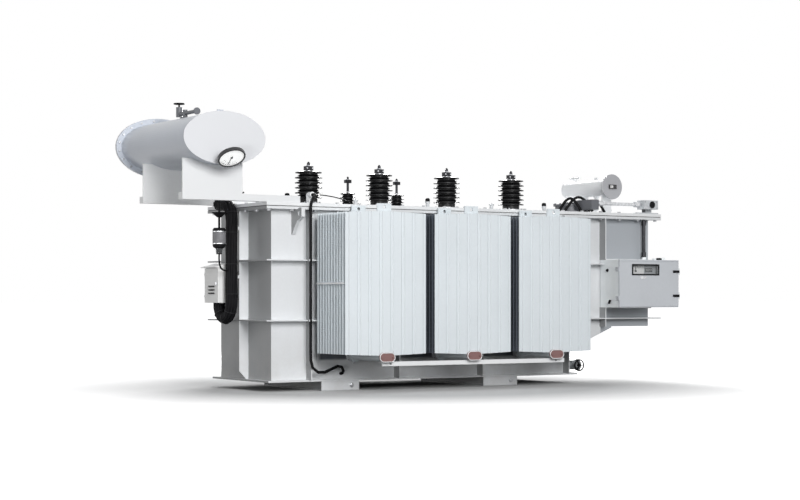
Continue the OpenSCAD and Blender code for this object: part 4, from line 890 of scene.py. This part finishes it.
# Strands of the control cables round their trunk, tied at intervals; the route repeats part.scad's
TRUNK_X = -1750
TRUNK = [Vector((TRUNK_X + x, y, z)) * MM for x, y, z in (
    (0, 240, 1717), (0, 185, 1717), (0, 120, 1713), (0, 50, 1698), (0, -8, 1652), (0, -30, 1580),
    (0, -30, 1480), (0, -30, 1320), (0, -30, 1160), (0, -30, 1000), (0, -30, 860), (0, -22, 770),
    (-2, 2, 705), (-6, 50, 668), (-12, 105, 665), (-18, 150, 695), (-22, 175, 745), (-22, 175, 802))]
STRANDS = 13
STRAND_REACH = 0.0445
STRAND_R = 0.0108
TIE_REACH = 0.0565
TIE_EVERY = 9


def smooth_route(points, parts=5):
    """More points along a curve that passes through all the points given."""
    route = []
    for i in range(len(points) - 1):
        p0, p1, p2, p3 = (points[max(0, min(len(points) - 1, i + k))] for k in (-1, 0, 1, 2))
        for j in range(parts):
            t = j / parts
            route.append(0.5 * (2 * p1 + (p2 - p0) * t + (2 * p0 - 5 * p1 + 4 * p2 - p3) * t * t
                                + (3 * p1 - p0 - 3 * p2 + p3) * t ** 3))
    return route + [points[-1]]


trunk_route = smooth_route(TRUNK)
ties = Piece()
strand_paths = [[] for k in range(STRANDS)]
side = Vector((1, 0, 0))
for i, point in enumerate(trunk_route):
    way = heading(trunk_route, i)
    side = (side - way * side.dot(way)).normalized()
    up = way.cross(side)
    for k, path in enumerate(strand_paths):
        angle = 2 * math.pi * k / STRANDS + 0.12 * math.sin(i * 0.31 + k * 1.7)
        reach = STRAND_REACH + 0.0025 * math.sin(i * 0.23 + k * 2.3)
        path.append(point + reach * (math.cos(angle) * side + math.sin(angle) * up))
    if i % TIE_EVERY == 4:
        ties.tube([point + TIE_REACH * (math.cos(a) * side + math.sin(a) * up)
                   for a in (2 * math.pi * n / 24 for n in range(25))], 0.0032, 6)
strands = Piece()
for path in strand_paths:
    strands.tube(path, STRAND_R, 8)
strands.done("trunk_strands", black, smooth=60.0)
ties.done("trunk_ties", ink)

# Hoses on the tap changer's head, a tap on the cover, and the breather's drain
HOSES = (((1.86, -0.33, 0.02), (2.16, -0.40, 0.02), 0.14),
         ((1.84, -0.27, 0.03), (1.98, -0.44, 0.02), 0.12),
         ((2.14, -0.36, 0.02), (2.30, -0.42, 0.01), 0.1))
HOSE_PARTS = 14
hoses = Piece()
for start, end, lift in HOSES:
    start, end = Vector(start), Vector(end)
    hoses.tube([start.lerp(end, t) + Vector((0, 0, DECK + lift * math.sin(math.pi * t)))
                for t in (k / HOSE_PARTS for k in range(HOSE_PARTS + 1))], 0.014, 10)
hoses.done("changer_hoses", black, smooth=60.0)
TAP_X, TAP_Y = -1.40, 0.47
tap = Piece()
tap.turned([(0.034, 0), (0.034, 0.012), (0.016, 0.014), (0.016, 0.085), (0.024, 0.088), (0.024, 0.112),
            (0.008, 0.116), (0.008, 0.14), (0, 0.14)], at(TAP_X, TAP_Y, DECK), 24)
tap.tube([(TAP_X, TAP_Y, DECK + 0.134), (TAP_X, TAP_Y - 0.06, DECK + 0.14)], 0.008, 8)
tap.done("cover_tap", black)
DRAIN = ((-1.93, -0.14, 1.25), (-1.93, -0.138, 1.2), (-1.915, -0.12, 1.15), (-1.88, -0.085, 1.115),
         (-1.83, -0.055, 1.1), (-1.80, -0.04, 1.1))
drain = Piece()
drain.tube(smooth_route([Vector(p) for p in DRAIN]), 0.008, 8)
drain.done("breather_drain", black, smooth=60.0)

# Thin capillary line from the elbow down to the cover
CAPILLARY = ((-0.98, -0.318, 0.094), (-0.93, -0.33, 0.09), (-0.85, -0.35, 0.078), (-0.77, -0.36, 0.06),
             (-0.7, -0.362, 0.036), (-0.66, -0.362, 0.014), (-0.64, -0.362, 0.008))
line = Piece()
line.tube([(x, y, DECK + z) for x, y, z in CAPILLARY], 0.005, 8)
line.done("capillary_line", black)

# Earth studs on the skids
STUD_XS = (-0.78, 1.02)
STUD_Y = corners("skids")[1].y
STUD_Z = 0.045
studs = Piece()
for x in STUD_XS:
    for side in (-1, 1):
        studs.turned([(0.022, 0), (0.022, 0.006), (0, 0.006)],
                     at(x, side * STUD_Y, STUD_Z, outward(side)), 20)
        studs.hexagon(at(x, side * (STUD_Y + 0.006), STUD_Z, outward(side)), 0.013, 0.011)
studs.done("earth_studs", plated)

# Floor, background, lights and camera
FLOOR_HALF = 300.0
FLOOR_Z = -0.0005
FLOOR_SEEN = (0.75, 0.75, 0.75, 1.0)
FLOOR_BOUNCE = (0.16, 0.16, 0.16, 1.0)
WHITE_FROM = 2.0
WHITE_AT = 4.6
WHITE = (1.0, 1.0, 1.0, 1.0)
WORLD_COLOUR = (0.97, 0.985, 1.0, 1.0)
WORLD_LIGHT = 0.2


def make_floor():
    """A pale floor that keeps the shadow near the object and is seen white further off."""
    mat, tree, bsdf = shader("floor_white")
    tree.nodes.remove(bsdf)
    out = next(n for n in tree.nodes if n.type == "OUTPUT_MATERIAL")
    rays = node(tree, "ShaderNodeLightPath")
    diffuse = node(tree, "ShaderNodeBsdfDiffuse")
    put(tree, diffuse.inputs["Color"], mixed(tree, rays.outputs["Is Camera Ray"], FLOOR_BOUNCE, FLOOR_SEEN))
    x, y = split(tree, object_place(tree))[:2]
    white = node(tree, "ShaderNodeEmission")
    white.inputs["Color"].default_value = WHITE
    put(tree, white.inputs["Strength"],
        times(tree, seen_rays(tree), spread(tree, length(tree, x, y), WHITE_FROM, WHITE_AT)))
    both = node(tree, "ShaderNodeAddShader")
    tree.links.new(diffuse.outputs[0], both.inputs[0])
    tree.links.new(white.outputs[0], both.inputs[1])
    tree.links.new(both.outputs[0], out.inputs[0])
    mesh = bpy.data.meshes.new("floor")
    half = FLOOR_HALF
    square = [(-half, -half, 0), (half, -half, 0), (half, half, 0), (-half, half, 0)]
    mesh.from_pydata(square, [], [(0, 1, 2, 3)])
    mesh.materials.append(mat)
    floor = bpy.data.objects.new("floor", mesh)
    floor.location.z = FLOOR_Z
    scene.collection.objects.link(floor)


def background(tree, colour, strength):
    made = node(tree, "ShaderNodeBackground")
    made.inputs["Color"].default_value = colour
    made.inputs["Strength"].default_value = strength
    return made.outputs[0]


def make_world():
    """A soft light from all sides, seen as plain white."""
    world = bpy.data.worlds.new("studio")
    scene.world = world
    world.use_nodes = True
    tree = world.node_tree
    tree.nodes.clear()
    out = tree.nodes.new("ShaderNodeOutputWorld")
    mix = node(tree, "ShaderNodeMixShader")
    tree.links.new(seen_rays(tree), mix.inputs[0])
    tree.links.new(background(tree, WORLD_COLOUR, WORLD_LIGHT), mix.inputs[1])
    tree.links.new(background(tree, WHITE, 1.0), mix.inputs[2])
    tree.links.new(mix.outputs[0], out.inputs[0])


def area_light(name, place, aim, size, power):
    data = bpy.data.lights.new(name, "AREA")
    data.shape = "SQUARE"
    data.size = size
    data.energy = power
    lamp = bpy.data.objects.new(name, data)
    lamp.location = place
    lamp.rotation_euler = (Vector(aim) - Vector(place)).to_track_quat("-Z", "Y").to_euler()
    scene.collection.objects.link(lamp)


make_floor()
make_world()
area_light("front_softbox", (-3.2, -13.0, 5.5), (0.3, 0.0, 0.9), 6.0, 1390)
area_light("back_softbox", (5.2, 8.0, 5.0), (0.0, 0.0, 0.2), 3.6, 1200)
area_light("side_softbox", (-11.5, 4.0, 1.6), (-1.5, 0.0, 1.3), 4.0, 120)
area_light("low_fill", (-8.5, -6.5, 0.6), (-2.0, 0.0, 1.9), 2.0, 170)

CAMERA_PLACE = (-9.24, -14.904, 0.84)
CAMERA_TILT = 90.0
CAMERA_YAW = -32.07
camera_data = bpy.data.cameras.new("camera")
camera_data.sensor_width = 36.0
camera_data.lens = 81.1
camera_data.shift_y = 0.061
camera_data.clip_end = 2000.0
camera = bpy.data.objects.new("camera", camera_data)
camera.location = CAMERA_PLACE
camera.rotation_euler = (math.radians(CAMERA_TILT), 0.0, math.radians(CAMERA_YAW))
scene.collection.objects.link(camera)
scene.camera = camera
scene.view_settings.view_transform = "Standard"
